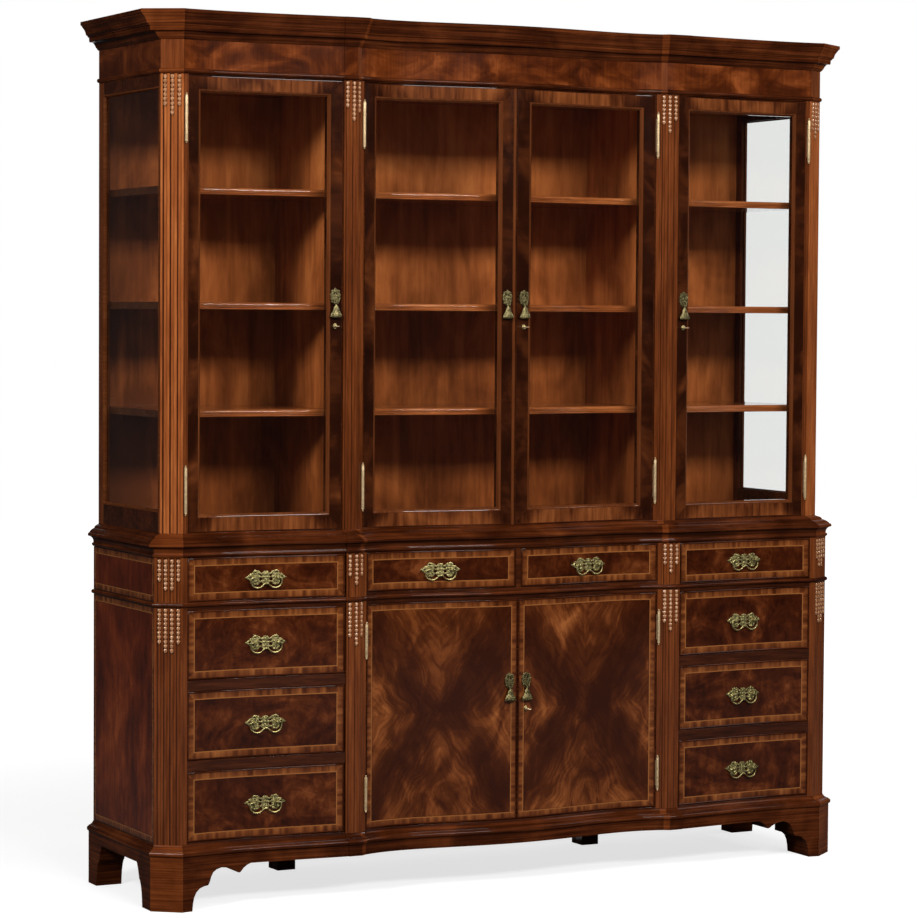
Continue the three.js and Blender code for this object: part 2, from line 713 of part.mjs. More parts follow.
// Handle plate with the cheeks that hold its drop
const handlePlate = () => {
  const plate = platePrism(handleWidth, handleHeight, handleOutlineShares, [handleHoleShares],
    handleThickness);
  const pivot = -handleHeight * pivotDropShare;
  const cheeks = [-1, 1].map((sign) => {
    const place = sign * (knuckleWidth / 2 + seatGap + cheekWidth / 2);
    const length = cheekReach + plateSink;
    return new THREE.BoxGeometry(cheekWidth, length, cheekHeight)
      .translate(place, plateSink - length / 2, pivot);
  });
  return [plate, ...cheeks];
};
const dropGeometry = () => {
  const points = dropProfileShares.map(([r, along]) =>
    new THREE.Vector2(r * dropWidth / 2, -along * dropLength));
  const neckTop = points[0].y;
  const profile = [new THREE.Vector2(0, points.at(-1).y), ...points.reverse(),
    new THREE.Vector2(0, neckTop)];
  const body = new THREE.LatheGeometry(profile, dropSides).rotateX(Math.PI / 2)
    .scale(1, dropThickness / dropWidth, 1);
  const knuckle = new THREE.CylinderGeometry(knuckleRadius, knuckleRadius, knuckleWidth, barrelSides)
    .rotateZ(Math.PI / 2);
  return geometryOf(solid(body).add(solid(knuckle)));
};

// Key: a round shank in the lock, and a flat bow with a hole
const keyGeometry = () => {
  const shank = solid(pegAlongDepth(keyRadius, barrelSides, keyClearance - keyBoreDepth, keyBowPlace));
  const ring = (share) => Array.from({ length: barrelSides }, (_, i) => {
    const angle = Math.PI * 2 * i / barrelSides;
    return new THREE.Vector2(Math.cos(angle) * keyBowLength / 2 * share,
      Math.sin(angle) * keyBowWidth / 2 * share);
  });
  const outer = new THREE.Shape(ring(1));
  outer.holes.push(new THREE.Path(ring(keyHoleShare)));
  const bow = extruded(outer, keyBowThickness).translate(0, 0, -keyBowThickness / 2)
    .rotateZ(Math.PI / 2).translate(0, -keyBowPlace, 0);
  const hole = new THREE.Shape(ring(keyHoleShare));
  const clear = extruded(hole, keyBowWidth).translate(0, 0, -keyBowWidth / 2)
    .rotateZ(Math.PI / 2).translate(0, -keyBowPlace, 0);
  return geometryOf(shank.add(solid(bow)).subtract(solid(clear)));
};

// Hinge barrels with their leaves, on a door's outer edge
const hinges = (sign, edge, ahead, bottom, top, length) => [bottom, top - length].flatMap((rise) => {
  const place = edge + barrelOut;
  const depth = frontDepth(place) + ahead + barrelForward;
  const profile = barrelProfileShares.map(([r, along]) =>
    new THREE.Vector2(r * barrelRadius, along * length));
  const barrel = new THREE.LatheGeometry(profile, barrelSides).rotateX(Math.PI / 2)
    .translate(sign * place, back - depth, rise);
  const leafMargin = length * (1 - leafShare) / 2;
  const leaf = sided([
    [edge - leafBite, depth], [edge + doorGap - seatGap, depth],
    [edge + doorGap - seatGap, depth - barrelForward - leafDepth],
    [edge - leafBite, depth - barrelForward - leafDepth],
  ], sign);
  return [solid(barrel), planPrism(leaf, rise + leafMargin, rise + length - leafMargin)];
});

// Keyhole bored into a door
const keyhole = (x, ahead, z) =>
  solid(ontoFront(pegAlongDepth(keyBore, boreSides, -keyBoreDepth, overrun), x, ahead, z));

// Door bodies: outline of the front, with hinges, handle plate and keyhole
const doorBody = (door) => {
  const { sign, x0, x1, hinge, ahead, bottom, top, barrel } = door;
  const leaf = planPrism(sided(frontStrip(x0, x1, ahead, ahead - doorThickness), sign), bottom, top);
  const plates = handlePlate().map((geometry) =>
    solid(ontoFront(geometry, sign * door.handle, ahead, door.handleZ)));
  const pins = hinges(sign, hinge, ahead, bottom + hingeMargin, top - hingeMargin, barrel);
  const body = joined([leaf, ...plates, ...pins]);
  return door.keyed ? body.subtract(keyhole(sign * door.handle, ahead, door.handleZ - keyDrop)) : body;
};
const glazing = ({ x0, x1, innerStile, outerStile, bottom, top }) => ({
  left: x0 + innerStile,
  right: x1 - outerStile,
  low: bottom + bottomRailWidth,
  high: top - topRailWidth,
});
const glazedDoor = (door) => {
  const { left, right, low, high } = glazing(door);
  const opening = frontStrip(left, right, wall, -doorThickness - wall);
  const frame = doorBody(door).subtract(planPrism(sided(opening, door.sign), low, high));
  if (!door.astragal) return frame;
  const bead = frontStrip(door.x0, door.x0 + astragalWidth, door.ahead + astragalProud,
    door.ahead - leafBite);
  return frame.add(planPrism(sided(bead, door.sign), door.bottom, door.top));
};
const doorPane = (door) => {
  const { left, right, low, high } = glazing(door);
  const strip = frontStrip(left + seatGap, right - seatGap, -paneInset, -paneInset - paneThickness);
  return planPrism(sided(strip, door.sign), low + seatGap, high - seatGap);
};

const sidePane = (sign) => {
  const outer = upperTier.side - paneInset;
  const span = [sign * outer, sign * (outer - paneThickness)].sort((p, q) => p - q);
  return block(...span, windowBack + seatGap, upperTier.flank - windowFrontMargin - seatGap,
    upperBottom + windowSill + seatGap, upperTop - windowHead - seatGap);
};

// Materials
const finish = (color, roughness, metalness = 0) =>
  new THREE.MeshStandardMaterial({ color, roughness, metalness });
const darkMahogany = () => finish(0x4a2016, 0.3);
const redMahogany = () => finish(0x6b3018, 0.32);
const panelWood = () => finish(0x7a4322, 0.5);
const antiqueBrass = () => finish(0x9a8a55, 0.35, 1);
const glass = () => {
  const clear = finish(0xe8eee8, 0.05);
  clear.transparent = true;
  clear.opacity = 0.25;
  return clear;
};

const group = new THREE.Group();
const addMesh = (name, geometry, material) => {
  const mesh = new THREE.Mesh(geometry, material);
  mesh.name = name;
  group.add(mesh);
  return mesh;
};
const addFitting = (name, geometry, x, ahead, z) => {
  const mesh = addMesh(name, geometry, antiqueBrass());
  mesh.position.set(x, back - frontDepth(x) - ahead, z);
  mesh.rotation.z = frontTurn(x);
  return mesh;
};

// Carcass
addMesh('plinth', geometryOf(plinth()), darkMahogany());
addMesh('lower_case', geometryOf(lowerCase()), redMahogany());
addMesh('lower_back', geometryOf(backPanel(lowerTier, lowerFloor, lowerTop)), panelWood());
addMesh('base_top', geometryOf(baseTop()), darkMahogany());
addMesh('upper_case', geometryOf(upperCase()), redMahogany());
addMesh('upper_back', geometryOf(backPanel(upperTier, upperBottom + boardThickness,
  upperTop - boardThickness)), panelWood());
addMesh('cornice', geometryOf(cornice()), darkMahogany());
addMesh('side_pane_left', geometryOf(sidePane(-1)), glass());
addMesh('side_pane_right', geometryOf(sidePane(1)), glass());

// Shelves
const upperSideInner = upperTier.side - wall;
const bays = {
  left: [-upperSideInner, -partitionPlace - wall],
  centre: [-partitionPlace, partitionPlace],
  right: [partitionPlace + wall, upperSideInner],
};
for (const [bay, [x0, x1]] of Object.entries(bays)) {
  shelfTopShares.forEach((share, i) => {
    const top = upperBottom + upperHeight * share;
    addMesh(`shelf_${bay}_${i + 1}`, geometryOf(shelf(x0, x1, upperTier.ahead, top)), redMahogany());
  });
}
const cupboardHeight = lowerDoorTop + drawerGap - lowerFloor;
addMesh('lower_shelf', geometryOf(shelf(-partitionPlace, partitionPlace, lowerTier.ahead,
  lowerFloor + cupboardHeight * lowerShelfShare)), panelWood());

// Drawers and their bails
const bailShape = bailGeometry();
const addDrawer = (name, x0, x1, bottom, height) => {
  addMesh(`drawer_${name}`, geometryOf(drawer(x0, x1, bottom, height)), darkMahogany());
  const ahead = lowerTier.ahead;
  const bail = addFitting(`bail_${name}`, bailShape, (x0 + x1) / 2, ahead, bottom + height / 2);
  bail.translateY(-bailForward);
};
const wingDrawerInner = pilasterOuter + drawerStile + drawerGap;
drawerBottoms.forEach((bottom, tier) => {
  addDrawer(`left_${tier + 1}`, -wingDrawerEdge, -wingDrawerInner, bottom, drawerHeights[tier]);
  addDrawer(`right_${tier + 1}`, wingDrawerInner, wingDrawerEdge, bottom, drawerHeights[tier]);
});
const centreDrawerBottom = topDrawerTop - centreDrawerHeight;
const centreDrawerInner = muntinHalf + drawerGap;
addDrawer('centre_left', -centreDoorEdge, -centreDrawerInner, centreDrawerBottom, centreDrawerHeight);
addDrawer('centre_right', centreDrawerInner, centreDoorEdge, centreDrawerBottom, centreDrawerHeight);

// Doors with their panes, drops and keys
const upperDoor = {
  ahead: upperTier.ahead,
  bottom: upperDoorBottom,
  top: upperDoorTop,
  barrel: upperBarrelLength,
  outerStile: stileWidth,
  handleZ: upperDoorBottom + upperHandleRise,
};
const wingDoor = {
  ...upperDoor,
  x0: pilasterOuter + doorGap,
  x1: wingDoorEdge,
  hinge: wingDoorEdge,
  innerStile: stileWidth,
  handle: pilasterOuter + doorGap + stileWidth / 2,
};
const centreDoor = {
  ...upperDoor,
  x0: meetingGap,
  x1: centreDoorEdge,
  hinge: centreDoorEdge,
  innerStile: meetingStileWidth,
  handle: handleInset,
};
const lowerDoor = {
  ahead: lowerTier.ahead,
  bottom: lowerDoorBottom,
  top: lowerDoorTop,
  barrel: lowerBarrelLength,
  x0: meetingGap,
  x1: centreDoorEdge,
  hinge: centreDoorEdge,
  handle: handleInset,
  handleZ: lowerDoorTop - lowerHandleDrop,
};
const glazedDoors = {
  left_wing: { ...wingDoor, sign: -1, keyed: true },
  left_centre: { ...centreDoor, sign: -1, astragal: true },
  right_centre: { ...centreDoor, sign: 1, keyed: true },
  right_wing: { ...wingDoor, sign: 1, keyed: true },
};
const panelDoors = {
  lower_left: { ...lowerDoor, sign: -1 },
  lower_right: { ...lowerDoor, sign: 1, keyed: true },
};
const dropShape = dropGeometry();
const keyShape = keyGeometry();
const addDoorFittings = (name, door) => {
  const x = door.sign * door.handle;
  const pivot = door.handleZ - handleHeight * pivotDropShare;
  addFitting(`drop_${name}`, dropShape, x, door.ahead, pivot).translateY(-pivotForward);
  if (door.keyed) addFitting(`key_${name}`, keyShape, x, door.ahead, door.handleZ - keyDrop);
};
for (const [name, door] of Object.entries(glazedDoors)) {
  addMesh(`door_${name}`, geometryOf(glazedDoor(door)), darkMahogany());
  addMesh(`pane_${name}`, geometryOf(doorPane(door)), glass());
  addDoorFittings(name, door);
}
for (const [name, door] of Object.entries(panelDoors)) {
  addMesh(`door_${name}`, geometryOf(doorBody(door)), darkMahogany());
  addDoorFittings(name, door);
}

export default group;
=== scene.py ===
import math

import bmesh
import bpy
from mathutils import Matrix, Vector


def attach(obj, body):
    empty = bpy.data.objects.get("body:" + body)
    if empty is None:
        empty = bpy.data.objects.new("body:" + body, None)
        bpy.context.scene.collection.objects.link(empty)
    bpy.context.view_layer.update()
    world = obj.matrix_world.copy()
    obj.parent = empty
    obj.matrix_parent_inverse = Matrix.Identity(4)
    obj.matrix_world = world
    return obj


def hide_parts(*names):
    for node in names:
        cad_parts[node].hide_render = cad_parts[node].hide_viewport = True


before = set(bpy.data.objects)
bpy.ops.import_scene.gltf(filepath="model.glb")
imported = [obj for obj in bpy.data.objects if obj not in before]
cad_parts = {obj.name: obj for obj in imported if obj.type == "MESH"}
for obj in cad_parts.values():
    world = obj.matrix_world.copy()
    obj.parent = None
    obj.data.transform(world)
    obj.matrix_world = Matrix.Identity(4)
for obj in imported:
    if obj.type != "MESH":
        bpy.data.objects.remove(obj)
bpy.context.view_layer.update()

# Sizes of the cabinet in millimetres, in the same frame as its solids
MM = 0.001
BACK = 268
FOOT_TOP = 143
PLINTH_TOP = 172
LOWER_TOP = 922
DECK_TOP = 974
UPPER_BOTTOM = 983
UPPER_TOP = 2176
FRIEZE_TOP = 2265
CABINET_TOP = 2340
FOOT_AHEAD = 51
LOWER_AHEAD = 28
UPPER_TIER = dict(side=1021.5, corner=970, ahead=0, flank=430, rear=1028)
LOWER_TIER = dict(side=1045, corner=982, ahead=LOWER_AHEAD, flank=450, rear=1042)
FOOT_TIER = dict(side=1059, corner=989, ahead=FOOT_AHEAD, flank=461, rear=1056)
PLINTH_BEAD_TIER = dict(side=1064, corner=991, ahead=56.5, flank=464, rear=1061)
WAIST_TIER = dict(side=1062, corner=986, ahead=42, flank=456, rear=1059)
HUTCH_TIER = dict(side=1040, corner=975, ahead=12, flank=438, rear=1040)
CORNICE_TIER = dict(side=1081.5, corner=984, ahead=40, flank=441, rear=1081.5)
BLOCK_PROUD = 2.6
MITRE_SHIFT = 0.41
DOOR_EDGE = 452
CENTRE_EDGE = 464
RETURN_EDGE = 479
PILASTER_EDGE = 517.5
WING_EDGE = 960
PARTITION = (488, 510)
FRONT_THICK = 22
APRON_RISE = 114
HANDS = ((-1, "left"), (1, "right"))
QUARTER = math.pi / 2


# The serpentine front, as depths from the back
def centre_front(x):
    s = x / DOOR_EDGE
    return 479.5 - 106 * (s ** 2 - 0.85 * s ** 4)


def wing_front(x):
    u = (abs(x) - 738.75) / 221.25
    return 455.2 - 14.5 * u + 10.9 * u ** 2 + 6.6 * u ** 3


PILASTER_FRONT = wing_front(PILASTER_EDGE) + 3


def front_depth(x):
    return centre_front(abs(x)) if abs(x) < RETURN_EDGE else wing_front(x)


def front_turn(x):
    return -math.atan((front_depth(x + 4) - front_depth(x - 4)) / 8)


def plan_loop(tier, carcass=0):
    """Outline of a tier from above, one point after another, as (across, depth)."""
    ahead, corner, side, flank = tier["ahead"], tier["corner"], tier["side"], tier["flank"]
    shift = (ahead - carcass) * MITRE_SHIFT
    outer = PILASTER_EDGE + shift
    centre = [(CENTRE_EDGE - shift) * i / 28 for i in range(1, 29)]
    wing = [outer + 0.3 + (corner - 0.6 - outer) * i / 20 for i in range(21)]
    half = [(x, centre_front(x) + ahead) for x in centre]
    half += [(x, PILASTER_FRONT + ahead) for x in (RETURN_EDGE - shift, outer)]
    half += [(x, wing_front(x) + ahead) for x in wing]
    half += [(corner, wing_front(corner) + ahead + BLOCK_PROUD), (side, flank)]
    half += [(side - BLOCK_PROUD, flank - 1), (tier["rear"], 0)]
    return [(-x, d) for x, d in reversed(half)] + [(0, centre_front(0) + ahead)] + half


def part_way(low, high, share):
    return {key: low[key] + (high[key] - low[key]) * share for key in low}


def moulding(low, high, bottom, top, shares, carcass=0):
    """Outlines of a moulding between two tiers; each share is (how high, how far out)."""
    return [(bottom + (top - bottom) * rise, plan_loop(part_way(low, high, out), carcass))
            for rise, out in shares]


def swollen(tier, swell):
    wider = {key: tier[key] + swell for key in ("side", "rear", "ahead")}
    return dict(tier, **wider, corner=tier["corner"] + 0.3 * swell, flank=tier["flank"] + 0.3 * swell)


ROUND_BEAD = [((1 - math.cos(math.pi * i / 8)) / 2, math.sin(math.pi * i / 8)) for i in range(9)]


# Making, finishing and placing pieces
def new_object(name, bm):
    mesh = bpy.data.meshes.new(name)
    bm.to_mesh(mesh)
    bm.free()
    obj = bpy.data.objects.new(name, mesh)
    bpy.context.scene.collection.objects.link(obj)
    return obj


def crease(bm):
    """Smooth shading, with the edges sharper than 32 degrees left crisp."""
    for face in bm.faces:
        face.smooth = True
    for edge in bm.edges:
        edge.smooth = len(edge.link_faces) == 2 and edge.calc_face_angle(0) < math.radians(32)


def piece(name, bm, finish, body="case", replaces=(), bevel=0, recalc=True):
    bmesh.ops.scale(bm, vec=(MM,) * 3, verts=bm.verts)
    if recalc:
        bmesh.ops.recalc_face_normals(bm, faces=bm.faces)
    crease(bm)
    obj = new_object(name, bm)
    for one in finish if isinstance(finish, list) else [finish]:
        obj.data.materials.append(one)
    if bevel:
        rounding = obj.modifiers.new("rounding", "BEVEL")
        rounding.width = bevel * MM
        rounding.segments = 2
        rounding.limit_method = "ANGLE"
        rounding.angle_limit = math.radians(38)
        rounding.harden_normals = True
    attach(obj, body)
    if replaces:
        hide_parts(*replaces)
    return obj


def join(bm, *others):
    """Adds the shapes of other bmeshes to this one."""
    for other in others:
        mesh = bpy.data.meshes.new("joining")
        other.to_mesh(mesh)
        other.free()
        bm.from_mesh(mesh)
        bpy.data.meshes.remove(mesh)
    return bm


def move(bm, x, y, z, verts=None):
    bmesh.ops.translate(bm, vec=(x, y, z), verts=verts or bm.verts)
    return bm


def stretch(bm, x, y, z, verts=None):
    bmesh.ops.scale(bm, vec=(x, y, z), verts=verts or bm.verts)
    return bm


def rotate(bm, axis, angle, verts=None):
    bmesh.ops.rotate(bm, cent=(0, 0, 0), matrix=Matrix.Rotation(angle, 3, axis), verts=verts or bm.verts)
    return bm


def verts_of(geometry):
    return [item for item in geometry if isinstance(item, bmesh.types.BMVert)]


def edges_of(geometry):
    return [item for item in geometry if isinstance(item, bmesh.types.BMEdge)]


def block(x0, x1, d0, d1, z0, z1, bm=None):
    """A box between two places across, two depths from the back and two heights."""
    bm = bm or bmesh.new()
    made = bmesh.ops.create_cube(bm, size=1)["verts"]
    stretch(bm, abs(x1 - x0), abs(d1 - d0), abs(z1 - z0), made)
    return move(bm, (x0 + x1) / 2, BACK - (d0 + d1) / 2, (z0 + z1) / 2, made)


def slice_at(bm, *places):
    for x in places:
        bmesh.ops.bisect_plane(bm, geom=bm.verts[:] + bm.edges[:] + bm.faces[:],
                               plane_co=(x, 0, 0), plane_no=(1, 0, 0))


def bend_to_front(bm, ahead, x0=0, x1=0, steps=1):
    """Slices a straight piece, its face at y = 0, and lays it along the serpentine front."""
    slice_at(bm, *[x0 + (x1 - x0) * i / steps for i in range(1, steps)])
    for vert in bm.verts:
        vert.co.y += BACK - front_depth(vert.co.x) - ahead
    return bm


def loft(levels):
    """Skin through outlines that have the same count of points."""
    bm = bmesh.new()
    z, points = levels[0]
    ring = [bm.verts.new((x, BACK - d, z)) for x, d in points]
    rim = [bm.edges.new(pair) for pair in zip(ring, ring[1:] + ring[:1])]
    bmesh.ops.contextual_create(bm, geom=rim)
    for z, points in levels[1:]:
        places = {tuple(vert.co): i for i, vert in enumerate(ring)}
        out = bmesh.ops.extrude_edge_only(bm, edges=rim)["geom"]
        rim = edges_of(out)
        ring = sorted(verts_of(out), key=lambda vert: places[tuple(vert.co)])
        for vert, (x, d) in zip(ring, points):
            vert.co = (x, BACK - d, z)
    bmesh.ops.contextual_create(bm, geom=rim)
    return bm


def prism(points, *push):
    """A flat outline pushed out into a solid."""
    bm = bmesh.new()
    face = bm.faces.new([bm.verts.new(point) for point in points])
    out = bmesh.ops.extrude_face_region(bm, geom=[face])["geom"]
    return move(bm, *push, verts_of(out))


def plan_block(points, z0, z1):
    """A plan outline raised between two heights."""
    return prism([(x, BACK - d, z0) for x, d in points], 0, 0, z1 - z0)


# Materials
class Finish:
    """A material or world, and short names for the nodes that its pattern is drawn with."""

    def __init__(self, owner):
        owner.use_nodes = True
        self.owner = owner
        self.tree = owner.node_tree
        self.shader = self.tree.nodes.get("Principled BSDF")

    def feed(self, socket, value):
        if isinstance(value, bpy.types.NodeSocket):
            self.tree.links.new(value, socket)
        else:
            socket.default_value = value

    def add(self, kind, *inputs, **named):
        """A new node: its inputs in order, then its settings, and inputs by name with a capital."""
        made = self.tree.nodes.new("ShaderNode" + kind)
        for key, value in named.items():
            if key[0].isupper():
                self.feed(made.inputs[key], value)
            else:
                setattr(made, key, value)
        for socket, value in zip(made.inputs, inputs):
            if value is not None:
                self.feed(socket, value)
        return made.outputs

    def put(self, **values):
        """Sets the shader's own sockets, with _ for a space in a name."""
        for name, value in values.items():
            self.feed(self.shader.inputs[name.replace("_", " ")], value)

    def cover(self, surface):
        self.tree.links.new(surface, self.tree.nodes["Material Output"].inputs["Surface"])

    def calc(self, operation, *values):
        return self.add("Math", *values, operation=operation)[0]

    def weighted(self, total, *parts):
        """A number and some values added up, each value with its own share."""
        for value, share in parts:
            total = self.calc("MULTIPLY_ADD", value, share, total)
        return total

    def spread(self, value, low, high, at_low, at_high, kind="LINEAR"):
        return self.add("MapRange", value, low, high, at_low, at_high, interpolation_type=kind)[0]

    def past(self, value, edge, soft=0.0004):
        return self.spread(value, edge - soft, edge + soft, 0, 1)

    def choose(self, share, first, second):
        return self.add("Mix", share, None, first, second, data_type="FLOAT")[0]

    def blend(self, share, first, second):
        colours = [(*one, 1) if isinstance(one, tuple) else one for one in (first, second)]
        return self.add("Mix", share, *[None] * 5, *colours, data_type="RGBA")[2]

    def ramp(self, value, stops):
        made = self.tree.nodes.new("ShaderNodeValToRGB")
        self.tree.links.new(value, made.inputs[0])
        points = made.color_ramp.elements
        while len(points) < len(stops):
            points.new(0.5)
        for point, (place, *colour) in zip(points, stops):
            point.position = place
            point.color = (*colour, 1)
        return made.outputs[0]

    def place(self, scale=(1, 1, 1), lean=0):
        """The place on the piece, squeezed along the axes and leant across the front."""
        there = self.add("TexCoord")["Object"]
        return self.add("Mapping", Vector=there, Scale=scale, Rotation=(0, lean, 0))[0]

    def noise(self, size, detail=4, rough=0.55, warp=0, scale=(1, 1, 1), lean=0, place=None):
        return self.add("TexNoise", Vector=self.place(scale, lean) if place is None else place,
                        Scale=size, Detail=detail, Roughness=rough, Distortion=warp)["Fac"]

    def rays(self, *names):
        path = self.add("LightPath")
        return [path[f"Is {name} Ray"] for name in names]

    def relief(self, size, detail, strength, scale=(1, 1, 1)):
        """Fine bumps of up to 0.4 mm."""
        height = self.noise(size, detail, scale=scale)
        self.put(Normal=self.add("Bump", Strength=strength, Distance=0.0004, Height=height)[0])

    def lacquer(self, gloss, coat=0.85):
        """A clear coat of lacquer, its sheen uneven where hands and dust dull it."""
        self.put(Specular_IOR_Level=0.03, Coat_Weight=coat, Coat_Roughness=0.06, Coat_IOR=1.5,
                 Roughness=self.spread(self.noise(9, 5), 0.3, 0.7, gloss, gloss + 0.14))
        return self.owner

    def polish(self, gloss, coat=0.85, scale=(1, 1, 1), pores=0.08):
        """Lacquer over wood with open pores, drawn out along the grain."""
        self.relief(900, 2, pores, scale)
        return self.lacquer(gloss, coat)

    def colour(self, value, stops):
        self.put(Base_Color=self.ramp(value, stops))


def new_finish(name):
    return Finish(bpy.data.materials.new(name))


# Tones of the woods, dark to light: where on the pattern, then red, green and blue
BAND_STOPS = [(0.3, 0.045, 0.0095, 0.0022), (0.44, 0.088, 0.0215, 0.005),
              (0.58, 0.155, 0.044, 0.0108), (0.74, 0.25, 0.082, 0.021)]
FIELD_STOPS = [(0.28, 0.019, 0.003, 0.0006), (0.48, 0.042, 0.0074, 0.0015),
               (0.62, 0.078, 0.0165, 0.0036), (0.8, 0.155, 0.041, 0.0105)]
SIDE_STOPS = [(0.28, 0.044, 0.0052, 0.0008), (0.48, 0.096, 0.0128, 0.002),
              (0.62, 0.158, 0.0265, 0.0046), (0.8, 0.27, 0.058, 0.012)]
MATCHED_STOPS = [(0.2, 0.026, 0.0046, 0.0009), (0.38, 0.041, 0.0078, 0.0016), (0.52, 0.069, 0.015, 0.0031),
                 (0.68, 0.15, 0.039, 0.009), (0.84, 0.27, 0.083, 0.021)]
# Lighter tones of the moulding wood for the canted blocks: painted light.
BLOCK_PAINTED_LIGHT_STOPS = [(0.32, 0.045, 0.0092, 0.002), (0.48, 0.098, 0.0215, 0.0046),
               (0.6, 0.155, 0.038, 0.0084), (0.76, 0.24, 0.068, 0.0165)]
CASE_STOPS = [(0.32, 0.05, 0.0108, 0.0025), (0.48, 0.105, 0.0245, 0.0056),
              (0.6, 0.16, 0.0405, 0.0095), (0.76, 0.25, 0.074, 0.019)]
# A lighter copy of the case tones: painted light on the upper cants and the shelves, and the paler wood of
# the drawer sides.
PALE_AND_PAINTED_LIGHT_STOPS = [(0.32, 0.15, 0.035, 0.008), (0.48, 0.255, 0.068, 0.0165),
                (0.6, 0.36, 0.108, 0.028), (0.76, 0.48, 0.172, 0.05)]
# Tones for the shadowed wall of each flute: painted shade.
FLUTE_SHADE_STOPS = [(0.32, 0.024, 0.0046, 0.0012), (0.5, 0.048, 0.0105, 0.0026), (0.72, 0.09, 0.0225, 0.0056)]
FRIEZE_STOPS = [(0.28, 0.028, 0.005, 0.0008), (0.44, 0.056, 0.0104, 0.0018),
                (0.58, 0.104, 0.0215, 0.0038), (0.76, 0.21, 0.052, 0.011)]
DARK_STOPS = [(0.32, 0.0125, 0.0025, 0.0008), (0.5, 0.034, 0.0073, 0.002),
              (0.64, 0.068, 0.0158, 0.0043), (0.8, 0.125, 0.033, 0.0092)]
MOULDING_STOPS = [(0.3, 0.012, 0.0023, 0.0006), (0.45, 0.034, 0.0068, 0.0016),
                  (0.58, 0.074, 0.0165, 0.004), (0.74, 0.15, 0.0385, 0.0095)]
FRAME_STOPS = [(0.3, 0.009, 0.0018, 0.0006), (0.48, 0.02, 0.0042, 0.0012), (0.62, 0.054, 0.0125, 0.0032),
               (0.76, 0.14, 0.038, 0.0098), (0.9, 0.23, 0.07, 0.019)]
INNER_STOPS = [(0.3, 0.15, 0.037, 0.008), (0.45, 0.29, 0.078, 0.0175),
               (0.58, 0.46, 0.134, 0.032), (0.74, 0.64, 0.215, 0.056)]
BEAD_STOPS = [(0.3, 0.05, 0.0115, 0.003), (0.55, 0.105, 0.028, 0.0075), (0.8, 0.19, 0.062, 0.0185)]
HUSK_STOPS = [(0.3, 0.2, 0.07, 0.024), (0.7, 0.5, 0.26, 0.135)]
STRING_LINE = (0.26, 0.092, 0.024)
BEAD_DARK = (0.016, 0.0034, 0.001)


def plain_wood(name, along, stops, gloss, coat=0.85):
    """Straight mahogany grain with a broad figure under it; along is the grain's direction."""
    wood = new_finish(name)
    scale = {"x": (0.9, 16, 16), "y": (16, 0.9, 16), "z": (16, 16, 0.9)}[along]
    fine = wood.noise(9, 6, 0.62, 0.3, scale)
    broad = wood.noise(3.2, 4, 0.5, 0.8, tuple(0.25 * s + 0.5 for s in scale))
    wood.colour(wood.weighted(0, (fine, 0.55), (broad, 0.45)), stops)
    return wood.polish(gloss, coat, scale, 0.12)


def moulding_run(name, stops):
    """Mahogany run along a moulding: crisp level lines over a broad change of tone."""
    wood = new_finish(name)
    lines = wood.noise(190, 3, 0.6, scale=(0.02, 0.02, 1))
    broad = wood.noise(7, 4, 0.55, 0.8)
    wood.colour(wood.weighted(-0.04, (lines, 0.62), (broad, 0.46)), stops)
    return wood.polish(0.2, 0.2, (0.1, 0.1, 1))


def edge_distances(wood):
    """Distances in metres from a framed front's edges and middle, read from its two UV maps."""
    maps = [wood.add("UVMap", uv_map=name)[0] for name in ("from_low", "from_high")]
    low, high = (wood.add("SeparateXYZ", one) for one in maps)
    edges = [wood.calc("MINIMUM", low[i], high[i]) for i in (0, 1)]
    middle = [wood.weighted(0, (low[i], 0.5), (high[i], -0.5)) for i in (0, 1)]
    return *edges, *middle


def crossbanding(wood, level_edge, reach):
    """Short grain laid square to the nearest edge, in soft bars of light and dark, darker towards the outer
    edge as painted shade by the bead.
    """
    upright_bars = wood.noise(74, 1.5, 0.5, scale=(1, 1, 0.06))
    level_bars = wood.noise(74, 1.5, 0.5, scale=(0.06, 1, 1))
    bars = wood.choose(level_edge, level_bars, upright_bars)
    # reach lightens the band away from the bead: painted shade by the bead.
    return wood.ramp(wood.weighted(-0.1, (bars, 0.75), (wood.noise(9, 2), 0.25), (reach, 0.16)), BAND_STOPS)


def matched_figure(wood, cx, cz):
    """Four matched leaves of crotch veneer: a dark middle with arms to the corners, light plumes between."""
    from_middle = [wood.calc("ABSOLUTE", c) for c in (cx, cz)]
    drift = wood.noise(9, 3, 0.5, 0.5, place=wood.add("CombineXYZ", from_middle[0], cz, 0.3)[0])
    a = wood.weighted(-0.15, (from_middle[0], 1 / 0.205), (drift, 0.3))
    b = wood.weighted(-0.17, (from_middle[1], 1 / 0.285), (wood.noise(7, 3, 0.5, 0.5), 0.34))
    across = wood.weighted(0, (b, 9), (a, -10.35))
    fan = wood.add("CombineXYZ", wood.calc("ADD", a, b), across, wood.calc("SIGN", cz))[0]
    feather = wood.noise(1.7, 4, 0.6, 0.35, place=fan)
    clouds = wood.noise(13, 4, 0.55, 1.2, (1, 1, 0.7), 0.3)
    top_plume = wood.weighted(-0.098, (b, 0.95), (a, -1))
    side_plume = wood.weighted(-0.578, (a, 1.1), (b, -1))
    plume = wood.calc("MAXIMUM", top_plume, side_plume)
    plume = wood.spread(plume, -0.28, 0.22, -0.11, 0.15, "SMOOTHSTEP")
    reach = wood.calc("SQRT", wood.weighted(0, (a, a), (b, b)))
    middle = wood.spread(reach, 0.12, 0.6, -0.06, 0, "SMOOTHSTEP")
    seams = [(wood.calc("LESS_THAN", c, 0), 0.03) for c in (cz, cx)]
    return wood.weighted(-0.62, (plume, 1), (middle, 1), (feather, 0.5), (clouds, 0.8),
                         (wood.noise(4.5, 2), 0.7), *seams)


